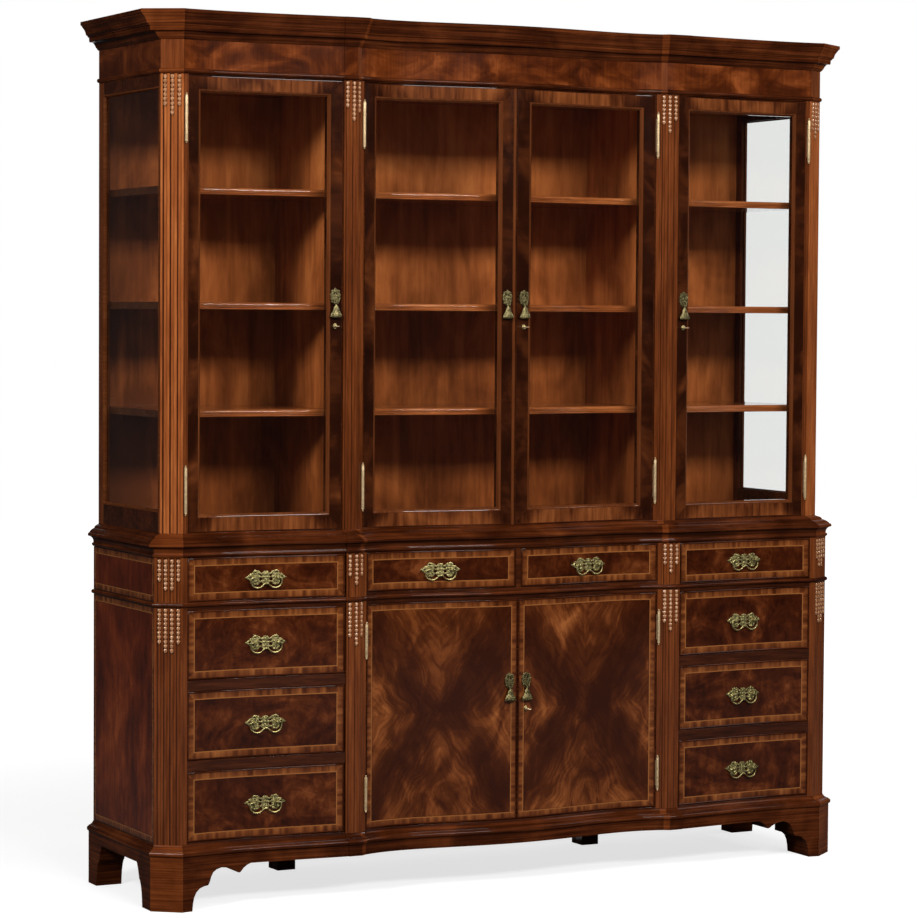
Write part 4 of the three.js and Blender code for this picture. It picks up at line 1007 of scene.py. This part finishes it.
def drawer_pull():
    """Pierced back plate with scrolls and studs, and a post at each end of the bail."""
    half = [(0, 15), (4, 18.5), (8, 14), (13, 12.5), (18, 17.5), (25, 19.5), (31, 21), (36, 18), (39, 12),
            (45, 11), (50, 6), (59, 0), (50, -4), (46, -9), (41, -8), (39, -15), (33, -20), (25, -20),
            (18, -15), (13, -12), (8, -17), (3, -20), (0, -21)]
    holes = [[(9, 6), (14, 3), (19, 8), (14, 10)], [(9, -3), (14, -9), (19, -6), (16, 0)],
             [(25, 14), (32, 12), (30, 16.5)], [(26, -13), (33, -12), (30, -16.5)],
             [(42, 4), (48, 0.5), (42, -3)]]
    post = [(0, -0.5), (5.2, -0.5), (5.2, 1.4), (4.2, 2.6), (3.2, 4.6), (3, 10.4), (3.8, 11), (3.9, 12.4),
            (2.6, 13.4), (0, 13.6)]
    studs = [(5.5, 14.5, 2.4), (12.5, 9.5, 2.2), (19.5, 14, 2.6), (27, 16.2, 2.8), (34.5, 15.2, 2.6),
             (38.5, 8.5, 2.2), (45, 7.5, 2.2), (52, 1.5, 2.4), (45, -6, 2.2), (37.5, -11.5, 2.4),
             (30, -16.5, 2.6), (22, -16, 2.4), (14.5, -10, 2.2), (6.5, -15.5, 2.4), (8, 1, 2.6),
             (16, 2, 2.2), (24, 4, 2.4), (23, -4, 2.2)]
    bm = cast_plate([(x * 0.985, z * 0.97) for x, z in half], holes, 0.55)
    for sign in (-1, 1):
        join(bm, scroll(sign * 22, 11.5, 6.5, 1.1, QUARTER, -sign),
             scroll(sign * 22, -11.5, 6.5, 1.1, -QUARTER, sign),
             scroll(sign * 44, 1, 6, 0.9, 0 if sign > 0 else math.pi, sign),
             move(turned(post, 12, "X"), sign * 33, 0, 0),
             *[stud(sign * x, z, size) for x, z, size in studs])
    middle_studs = ((10, 3.4), (2, 2.8), (-6, 3.2), (-16, 2.6), (16, 2.2))
    return join(bm, *[stud(0, z, size) for z, size in middle_studs])


def drawer_bail():
    half = [(37.2, 0), (41, -1), (43.4, -5.5), (43.2, -13), (39.5, -20), (33, -24.8), (26, -26.6),
            (18, -25.5), (11.5, -21.5), (6.5, -17), (3.2, -15.4), (0, -15)]
    line = smooth_points([(x, -8.5, z) for x, z in mirrored(half)], 3, closed=False)
    thin, knob = 1.75, 2.7
    swells = [thin * (1 + 0.32 * math.exp(-((abs(point.x) - 28) / 9) ** 2)) for point in line]
    return rod(line, [swell if abs(point.x) > 2.4 else knob for point, swell in zip(line, swells)])


def handle_plate():
    """Back plate of a door's drop, with scrolls, studs and a cheek on each side of the knuckle."""
    half = [(0, 23), (3, 21.5), (4.5, 18.5), (8, 19), (11, 16), (9.5, 12), (12, 10), (15.4, 6.5), (13, 1),
            (14.4, -5), (11, -10), (8.5, -15), (5, -18), (3.5, -21), (0, -22.6)]
    holes = [[(3.4, 12), (6.6, 8), (5.4, 4), (2.8, 7)], [(7.4, 0.5), (10.4, -2.5), (8, -5.5)]]
    studs = [(10.2, 15.2, 2.5), (13.2, 6.4, 1.9), (12.6, -4.6, 1.9), (9.6, -12.6, 2.6), (4.6, 17.6, 1.7)]
    bm = cast_plate(half, holes, 0.5)
    for sign in (-1, 1):
        cheek = bmesh.new()
        bmesh.ops.create_cube(cheek, size=1)
        stretch(cheek, 2.3, 10.8, 7.4)
        bmesh.ops.bevel(cheek, geom=cheek.edges[:], offset=0.7, segments=2, profile=0.5, affect="EDGES",
                        material=-1)
        join(bm, scroll(sign * 8.5, 8, 4.6, 1, QUARTER, -sign),
             scroll(sign * 7.5, -6, 4.2, 1, -QUARTER, sign),
             move(cheek, sign * 4.5, -5.5, -16.56),
             *[stud(sign * x, z, size) for x, z, size in studs])
    middle_studs = ((20.4, 1.9), (13.6, 2), (2.4, 2.3), (-5.4, 1.9))
    return join(bm, *[stud(0, z, size) for z, size in middle_studs])


def door_drop():
    """Bell drop that hangs from its knuckle: turned, flattened, with rows of cast beads."""
    profile = [(0, -1), (2.6, -1.2), (2.4, -3.4), (3.4, -4.6), (3, -6), (5, -8), (7.2, -11.5), (8.2, -15),
               (8.4, -18), (10.2, -21), (13.4, -25.5), (15.8, -30), (16.8, -34), (16.4, -36.6),
               (13, -38.2), (8.5, -38.8), (4.2, -39.6), (0, -40)]
    flatness = 13 / 34
    bm = stretch(turned(profile, 20), 1, flatness, 1)
    for down, radius, beads in ((14, 8, 1), (19, 9, 2), (24, 12.2, 3), (29.2, 15.3, 4), (34.4, 16.7, 6)):
        for i in range(beads):
            across = 0.82 * radius * (2 * (i + 0.5) / beads - 1)
            ahead = flatness * math.sqrt(radius ** 2 - across ** 2)
            bead = turned([(0, -0.6), (1.5, -0.4), (1.6, 0.5), (1.1, 1.3), (0, 1.6)], 8, "X")
            join(bm, move(bead, across, -ahead, -down))
    knuckle = [(0, -2.9), (2.4, -2.9), (2.6, -2.5), (2.6, 2.5), (2.4, 2.9), (0, 2.9)]
    return join(bm, turned(knuckle, 14, "Y"))


def door_key():
    shank = [(0, -11.5), (2.4, -11.5), (2.5, -11), (2.5, 2.2), (3.7, 2.6), (3.7, 4.4), (2.3, 4.9),
             (2.2, 8.8), (2.9, 9.6), (2.2, 10.4), (0, 10.6)]
    angles = [math.tau * i / 24 for i in range(24)]
    bow = [(5.4 * math.cos(angle), -17.5 + 7.6 * math.sin(angle), 0) for angle in angles]
    return join(turned(shank, 12, "X"), rod(bow, [1.25] * 24, closed=True))


def hinge(sign, edge, ahead, z, length):
    """A barrel with finials and rings, and its leaf let into the edge of the door."""
    low_end = [(0, 0), (1.5, 0.4), (2.4, 2), (1.5, 3.8), (1.9, 4.4), (4, 6), (4.1, 7.2), (3.8, 8), (4.1, 9)]
    high_end = [(radius, length - up) for radius, up in reversed(low_end)]
    rings = []
    for middle in (length * 0.25, length * 0.5, length * 0.75):
        rings += [(4.1, middle - 0.6), (3.6, middle), (4.1, middle + 0.6)]
    place = edge + 3
    depth = front_depth(place) + ahead + 4.7
    barrel = move(turned(low_end + rings + high_end, 14), sign * place, BACK - depth, z)
    inner, outer = edge - 0.8, edge + 1.1
    leaf = [(inner, depth - 1.5), (outer, depth - 1.5), (outer, depth - 22), (inner, depth - 22)]
    return join(barrel, plan_block(both(leaf, sign), z + length * 0.15, z + length * 0.85))


# Drawers
def drawer(name, x0, x1, bottom, height):
    body = "drawer_" + name
    top = bottom + height
    front = curved_front(x0, x1, bottom, top, COCK_BEAD, LOWER_AHEAD - 0.9)
    mark_edges(front, x0, x1, bottom, top, 4.4, 1)
    piece("front_" + name, front, [drawer_veneer, edge_bead_wood], body, [body])
    left, right, wall = x0 + 6, x1 - 6, 10
    low, high = bottom - 0.7, top - 14
    middle = (left + right) / 2
    near = min(front_depth(x) for x in (left, right, middle)) + LOWER_AHEAD - 21
    box = block(left, left + wall, 50, near, low, high)
    block(right - wall, right, 50, near, low, high, box)
    block(left + wall, right - wall, 50, 60, low, high, box)
    block(left + wall, right - wall, 60, near, low + 0.5, low + 8, box)
    piece("box_" + name, box, drawer_wood, body, bevel=0.6)
    x, z = (x0 + x1) / 2, bottom + height / 2
    pull = place_on_front(drawer_pull(), x, LOWER_AHEAD + 0.5, z)
    piece("pull_" + name, pull, pull_brass, body, recalc=False)
    bail = "bail_" + name
    bow = place_on_front(drawer_bail(), x, LOWER_AHEAD, z)
    piece("bow_" + name, bow, pull_brass, bail, [bail], recalc=False)


def drawers():
    for number, (bottom, height) in enumerate([(177, 184), (391, 181), (602, 181), (807, 114)], 1):
        drawer(f"left_{number}", -967, -521, bottom, height)
        drawer(f"right_{number}", 521, 967, bottom, height)
    drawer("centre_left", -DOOR_EDGE, -8.5, 815, 106)
    drawer("centre_right", 8.5, DOOR_EDGE, 815, 106)


# Doors
def widen_margins(bm, x0, x1, z0, z1, made, at_low, at_high, at_bottom, at_top):
    """Gives the stiles and rails their own widths, once the frame is made with even ones."""
    def moved(value, start, end, low, high):
        if value - start <= made:
            return start + (value - start) * low / made
        if end - value <= made:
            return end - (end - value) * high / made
        share = (value - start - made) / (end - start - 2 * made)
        return start + low + share * (end - start - low - high)
    for vert in bm.verts:
        vert.co.x = moved(vert.co.x, x0, x1, at_low, at_high)
        vert.co.z = moved(vert.co.z, z0, z1, at_bottom, at_top)


def glazed_door(name, sign, x0, x1, inner_stile, handle, keyed=False):
    body = "door_" + name
    low, high = (x0, x1) if sign > 0 else (-x1, -x0)
    z0, z1 = UPPER_BOTTOM + 1, UPPER_TOP - 2
    slices, outer_stile, bottom_rail, top_rail = 18, 43, 48, 43
    bm = stepped_panel(low, high, z0, z1, FRAME_FLAT + FRAME_OVOLO, FRONT_THICK, open_middle=True)
    flat, made = (sum(width for width, _ in steps) for steps in (FRAME_FLAT, FRAME_FLAT + FRAME_OVOLO))
    for face in bm.faces:
        x, y, z = face.calc_center_median()
        face.material_index = int(min(x - low, high - x, z - z0, z1 - z) > flat and y < 10)
    mark_edges(bm, low, high, z0, z1, 2.9, 2)
    slice_at(bm, *[low + (high - low) * i / slices for i in range(1, slices)])
    stiles = (inner_stile, outer_stile)[::sign]
    widen_margins(bm, low, high, z0, z1, made, *stiles, bottom_rail, top_rail)
    distances_from_edges(bm, low, high, z0, z1)
    bend_to_front(bm, -0.8)
    woods = [door_frame_wood, bead_wood, edge_bead_wood]
    piece("frame_" + name, bm, woods, body, [body])
    pane = stepped_panel(low + stiles[0] - 2, high - stiles[1] + 2,
                         z0 + bottom_rail - 2, z1 - top_rail + 2, [], 3)
    bend_to_front(pane, -10, low, high, slices)
    piece("glass_" + name, pane, window_glass, body, ["pane_" + name])
    fittings(name, sign, sign * handle, 0, z0 + 619, keyed, x1, z0, z1, 131)


def meeting_bead():
    """The half round bead that covers the joint of the two middle doors."""
    middle, half = -5.3, 4.6
    bead = block(-9.8, -0.8, BACK, BACK + 1, UPPER_BOTTOM + 1, UPPER_TOP - 2)
    slice_at(bead, *[middle + i for i in (0, -3.4, -1.8, 1.8, 3.4)])
    for vert in bead.verts:
        rise = 4 * math.sqrt(max(0, 1 - ((vert.co.x - middle) / half) ** 2))
        vert.co.y = -rise if vert.co.y < -0.5 else 1
    piece("meeting_bead", bend_to_front(bead, 0), bead_wood, "door_left_centre")


def fittings(name, sign, x, ahead, z, keyed, hinge_edge, bottom, top, length):
    body, drop, key = "door_" + name, "drop_" + name, "key_" + name
    plate = place_on_front(handle_plate(), x, ahead, z)
    piece("handle_" + name, plate, handle_brass, body, recalc=False)
    bell = place_on_front(move(door_drop(), 0, -8, 0), x, ahead, z - 16.56)
    piece("bell_" + name, bell, handle_brass, drop, [drop])
    if keyed:
        turned_key = place_on_front(door_key(), x, ahead, z - 78)
        piece("key_turned_" + name, turned_key, hinge_brass, key, [key])
        profile = [(3.2, 0.2), (5.6, 0), (5.8, 0.9), (4.6, 1.6), (3.2, 1.2), (3.2, 0.2)]
        rim = place_on_front(stretch(turned(profile, 16, "X"), 1, 1, 1.25), x, ahead, z - 78)
        piece("escutcheon_" + name, rim, pull_brass, body)
    hinges = [hinge(sign, hinge_edge, ahead, low, length) for low in (bottom + 46, top - 46 - length)]
    piece("hinges_" + name, join(*hinges), hinge_brass, body)


def panel_door(name, sign, keyed=False):
    low, high = sorted((sign * 0.8, sign * DOOR_EDGE))
    z0, z1 = 177, 782
    front = curved_front(low, high, z0, z1, DOOR_BEAD, LOWER_AHEAD - 1.2, slices=24)
    mark_edges(front, low, high, z0, z1, 4.5, 1)
    body = "door_" + name
    piece("panel_" + name, front, [door_veneer, edge_bead_wood], body, [body])
    fittings(name, sign, sign * 26, LOWER_AHEAD, z1 - 224, keyed, DOOR_EDGE, z0, z1, 101)


def doors():
    wing = (519, WING_EDGE, 43, 540.5)
    centre = (0.8, DOOR_EDGE, 50, 26)
    glazed_door("left_wing", -1, *wing, keyed=True)
    glazed_door("left_centre", -1, *centre)
    meeting_bead()
    glazed_door("right_centre", 1, *centre, keyed=True)
    glazed_door("right_wing", 1, *wing, keyed=True)
    panel_door("lower_left", -1)
    panel_door("lower_right", 1, keyed=True)


# Carcass
def lower_carcass():
    bm = bmesh.new()
    for low, high in ((-968, -519), (519, 968)):
        for z0, z1 in ((171.5, 176.2), (361.8, 390.2), (572.8, 601.2), (783.8, 806.2)):
            join(bm, level_rail(low, high, z0, z1))
    for half, z0, z1, slices in ((453.5, 171.5, 176, 24), (453.5, 783, 814, 24), (7.5, 814, LOWER_TOP, 2)):
        join(bm, level_rail(-half, half, z0, z1, slices))
    piece("drawer_rails", bm, rail_wood, replaces=["lower_case"], bevel=0.5)
    inner = bmesh.new()
    near, far = PARTITION
    for sign in (-1, 1):
        block(sign * 1022, sign * 1039, 0.5, 440, PLINTH_TOP, LOWER_TOP, inner)
        block(sign * near, sign * far, 9, 442, PLINTH_TOP, LOWER_TOP, inner)
        for z0, z1 in ((PLINTH_TOP, 176), (362, 390), (573, 601), (784, 806)):
            block(sign * far, sign * 1024, 9, 446, z0, z1, inner)
    for z0, z1 in ((PLINTH_TOP, 176), (784, 813.5)):
        block(-near, near, 9, 446, z0, z1, inner)
    piece("lower_inside", inner, inner_wood)
    for sign, hand in HANDS:
        for z0, z1, part in ((173, 792.5, "tall"), (805.5, 921.5, "top")):
            bm = side_panel(sign, 1, 448, z0, z1, [(0.8, 0)], 1042, 2.4)
            piece(f"side_{part}_{hand}", bm, side_veneer)


def draw_in(bm):
    """The sides of the display case draw in a little towards the front."""
    depth = UPPER_TIER["rear"] - UPPER_TIER["side"] + BLOCK_PROUD
    for vert in bm.verts:
        if abs(vert.co.x) > 1010:
            share = (BACK - vert.co.y) / UPPER_TIER["flank"]
            vert.co.x -= math.copysign(share * depth, vert.co.x)
    return bm


def upper_carcass():
    frames, upright, inner = (bmesh.new() for _ in range(3))
    near, far = PARTITION
    for sign in (-1, 1):
        side, outer = sign * 1006, sign * 1028
        block(side, outer, 36, 412, 983.5, 1041, frames)
        block(side, outer, 36, 412, 2140, UPPER_TOP, frames)
        block(side, outer, 0.3, 36, 983.5, UPPER_TOP, upright)
        block(side, outer, 412, 428, 983.5, UPPER_TOP, upright)
        block(sign * near, sign * far, 9, 416, 1003, 2156, inner)
    piece("side_rails", draw_in(frames), rail_wood, replaces=["upper_case"], bevel=0.6)
    piece("side_stiles", draw_in(upright), pilaster_wood, bevel=0.6)
    for sign, hand in HANDS:
        bead = side_panel(sign, 32, 416, 1037, 2144, WINDOW_BEAD, 1027.5, 8, True)
        piece("window_bead_" + hand, draw_in(bead), window_bead_wood)
    piece("partitions", inner, inner_wood, bevel=0.5)
    end = 1016
    front = [(955 - 20 * i, front_depth(955 - 20 * i) - 25) for i in range(96)]
    line = [(-end, 0.5), (end, 0.5), (end, 412)] + front + [(-end, 412)]
    boards = join(plan_block(line, 984, 1003), plan_block(line, 2156, UPPER_TOP))
    piece("case_boards", boards, shelf_painted_highlight_wood, bevel=0.5)


def shelves():
    """Three shelves in each bay: three reeds and a rounded nose on their front edges."""
    thick, reeds, per_reed, nose, steps, parts = 19, 3, 6, 0.34, 9, 40
    edge = [((1 - nose) * i / reeds / per_reed, 2 * (1 - abs(math.sin(math.pi * i / per_reed))))
            for i in range(reeds * per_reed + 1)]
    turns = [QUARTER * i / steps for i in range(steps + 1)]
    edge += [(1 - nose + nose * math.sin(turn), thick * nose * (1 - math.cos(turn))) for turn in turns]
    near, far = PARTITION
    for bay, x0, x1 in (("left", -1006, -far), ("centre", -near, near), ("right", far, 1006)):
        places = [x0 + (x1 - x0) * i / parts for i in range(parts + 1)]
        for number, share in enumerate((0.268, 0.506, 0.759), 1):
            top = UPPER_BOTTOM + (UPPER_TOP - UPPER_BOTTOM) * share
            levels = []
            for rise, back_by in edge:
                line = [(x1, 9.5), (x0, 9.5)] + [(x, front_depth(x) - 72 - back_by) for x in places]
                levels.append((top - thick + thick * rise, line))
            piece(f"board_{bay}_{number}", loft(levels), shelf_painted_highlight_wood, replaces=[f"shelf_{bay}_{number}"])


round_mouldings()
for tier, name, z0, z1, flutes in ((UPPER_TIER, "upper", UPPER_BOTTOM, UPPER_TOP, UPPER_CANT_FLUTES),
                                   (LOWER_TIER, "lower", PLINTH_TOP, 793.5, CANT_FLUTES),
                                   (LOWER_TIER, "frieze", 804.5, LOWER_TOP, CANT_FLUTES)):
    pilasters(tier, name, z0, z1, flutes)
husks(UPPER_TIER, "upper", UPPER_TOP - 2, UPPER_CANT_FLUTES, (7, 9, 7), (7, 9, 6))
husks(LOWER_TIER, "top", LOWER_TOP - 4, CANT_FLUTES, (5, 7, 7, 5), (5, 7, 5))
husks(LOWER_TIER, "low", 790, CANT_FLUTES, (8, 10, 10, 8), (8, 10, 8))
lower_carcass()
upper_carcass()
shelves()
drawers()
doors()
for node, finish in (("lower_back", inner_wood), ("upper_back", inner_wood), ("lower_shelf", shelf_painted_highlight_wood),
                     ("side_pane_left", side_glass), ("side_pane_right", side_glass)):
    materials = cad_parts[node].data.materials
    materials.clear()
    materials.append(finish)

# Floor, backdrop and light
AMBIENT = 0.25
ROOM_GLOW = 0.02


def sweep_share(stage, place):
    """The white sweep hangs behind the cabinet, square to the picture; the rest of the room is dark."""
    toward = stage.add("VectorMath", place, operation="NORMALIZE")[0]
    facing = stage.add("VectorMath", toward, (0.46, 0.888, 0), operation="DOT_PRODUCT")["Value"]
    return stage.spread(facing, 0.88, 0.97, 0, 1)


def plain_floor():
    """A grey floor with the backdrop's own white added where the camera, glass or gloss sees it."""
    floor = new_finish("pale floor")
    place = floor.add("TexCoord")["Object"]
    apart = floor.add("VectorMath", place, operation="LENGTH")["Value"]
    white = floor.spread(apart, 1.4, 4.5, 0.72, 1, "SMOOTHSTEP")
    seen, passing, glossy = floor.rays("Camera", "Transmission", "Glossy")
    floor.put(Roughness=0.7, Specular_IOR_Level=0, Base_Color=floor.blend(seen, (0.08,) * 3, (0.42,) * 3))
    seen = floor.calc("MAXIMUM", floor.calc("MAXIMUM", seen, passing),
                      floor.calc("MULTIPLY", glossy, sweep_share(floor, place)))
    glow = floor.add("Emission", (1, 1, 1, 1), floor.calc("MULTIPLY", seen, white))[0]
    floor.cover(floor.add("AddShader", floor.shader.outputs[0], glow)[0])
    bm = bmesh.new()
    bmesh.ops.create_grid(bm, x_segments=1, y_segments=1, size=14)
    obj = new_object("floor", bm)
    obj.data.materials.append(floor.owner)


def studio_world():
    room = Finish(bpy.data.worlds.new("studio"))
    bpy.context.scene.world = room.owner
    room.tree.nodes.clear()
    seen, passing, glossy = room.rays("Camera", "Transmission", "Glossy")
    sweep = sweep_share(room, room.add("TexCoord")["Generated"])
    level = room.choose(glossy, AMBIENT, room.spread(sweep, 0, 1, ROOM_GLOW, 1))
    strength = room.choose(room.calc("MAXIMUM", seen, passing), level, 1)
    room.add("OutputWorld", Surface=room.add("Background", (1, 1, 1, 1), strength)[0])


def soft_lamp(name, place, aim, size, power):
    data = bpy.data.lights.new(name, "AREA")
    data.shape = "RECTANGLE"
    data.size, data.size_y = size
    data.energy = power
    obj = bpy.data.objects.new(name, data)
    obj.location = place
    obj.rotation_euler = (Vector(aim) - Vector(place)).to_track_quat("-Z", "Y").to_euler()
    bpy.context.scene.collection.objects.link(obj)


plain_floor()
studio_world()
soft_lamp("key_left", (-5.6, -3.3, 4.3), (-0.3, 0, 1.2), (1.3, 1.3), 275)
soft_lamp("key_front", (0.3, -6.2, 4.1), (0, 0, 1.2), (4, 0.9), 350)
soft_lamp("front_high", (-0.6, -4.2, 5.2), (0.1, 0, 1.1), (3.2, 1.4), 45)
soft_lamp("right_high", (4.4, -2.6, 4), (0.5, 0, 1.3), (1.4, 1.8), 30)
soft_lamp("right_rim", (6, -1.2, 3.7), (0, -0.2, 1.5), (0.7, 0.7), 60)

# Camera where the photograph was taken from
YAW, PITCH, ROLL = 0.4782, -0.0461, 0.0064
ahead_dir = Vector((math.sin(YAW), math.cos(YAW), 0))
right_dir = Vector((math.cos(YAW), -math.sin(YAW), 0))
up_dir = Vector((0, 0, 1))
look = ahead_dir * math.cos(PITCH) + up_dir * math.sin(PITCH)
up_tilted = -ahead_dir * math.sin(PITCH) + up_dir * math.cos(PITCH)
camera_x = right_dir * math.cos(ROLL) + up_tilted * math.sin(ROLL)
camera_y = -right_dir * math.sin(ROLL) + up_tilted * math.cos(ROLL)
camera_data = bpy.data.cameras.new("camera")
camera_data.sensor_width = 36
camera_data.lens = 3108.82 * 36 / 918
camera_data.clip_start, camera_data.clip_end = 0.1, 100
camera = bpy.data.objects.new("camera", camera_data)
turn = Matrix((camera_x, camera_y, -look)).transposed()
camera.matrix_world = Matrix.Translation((-4.04938, -7.69123, 1.55541)) @ turn.to_4x4()
bpy.context.scene.collection.objects.link(camera)
bpy.context.scene.camera = camera
bpy.context.scene.view_settings.view_transform = "Standard"
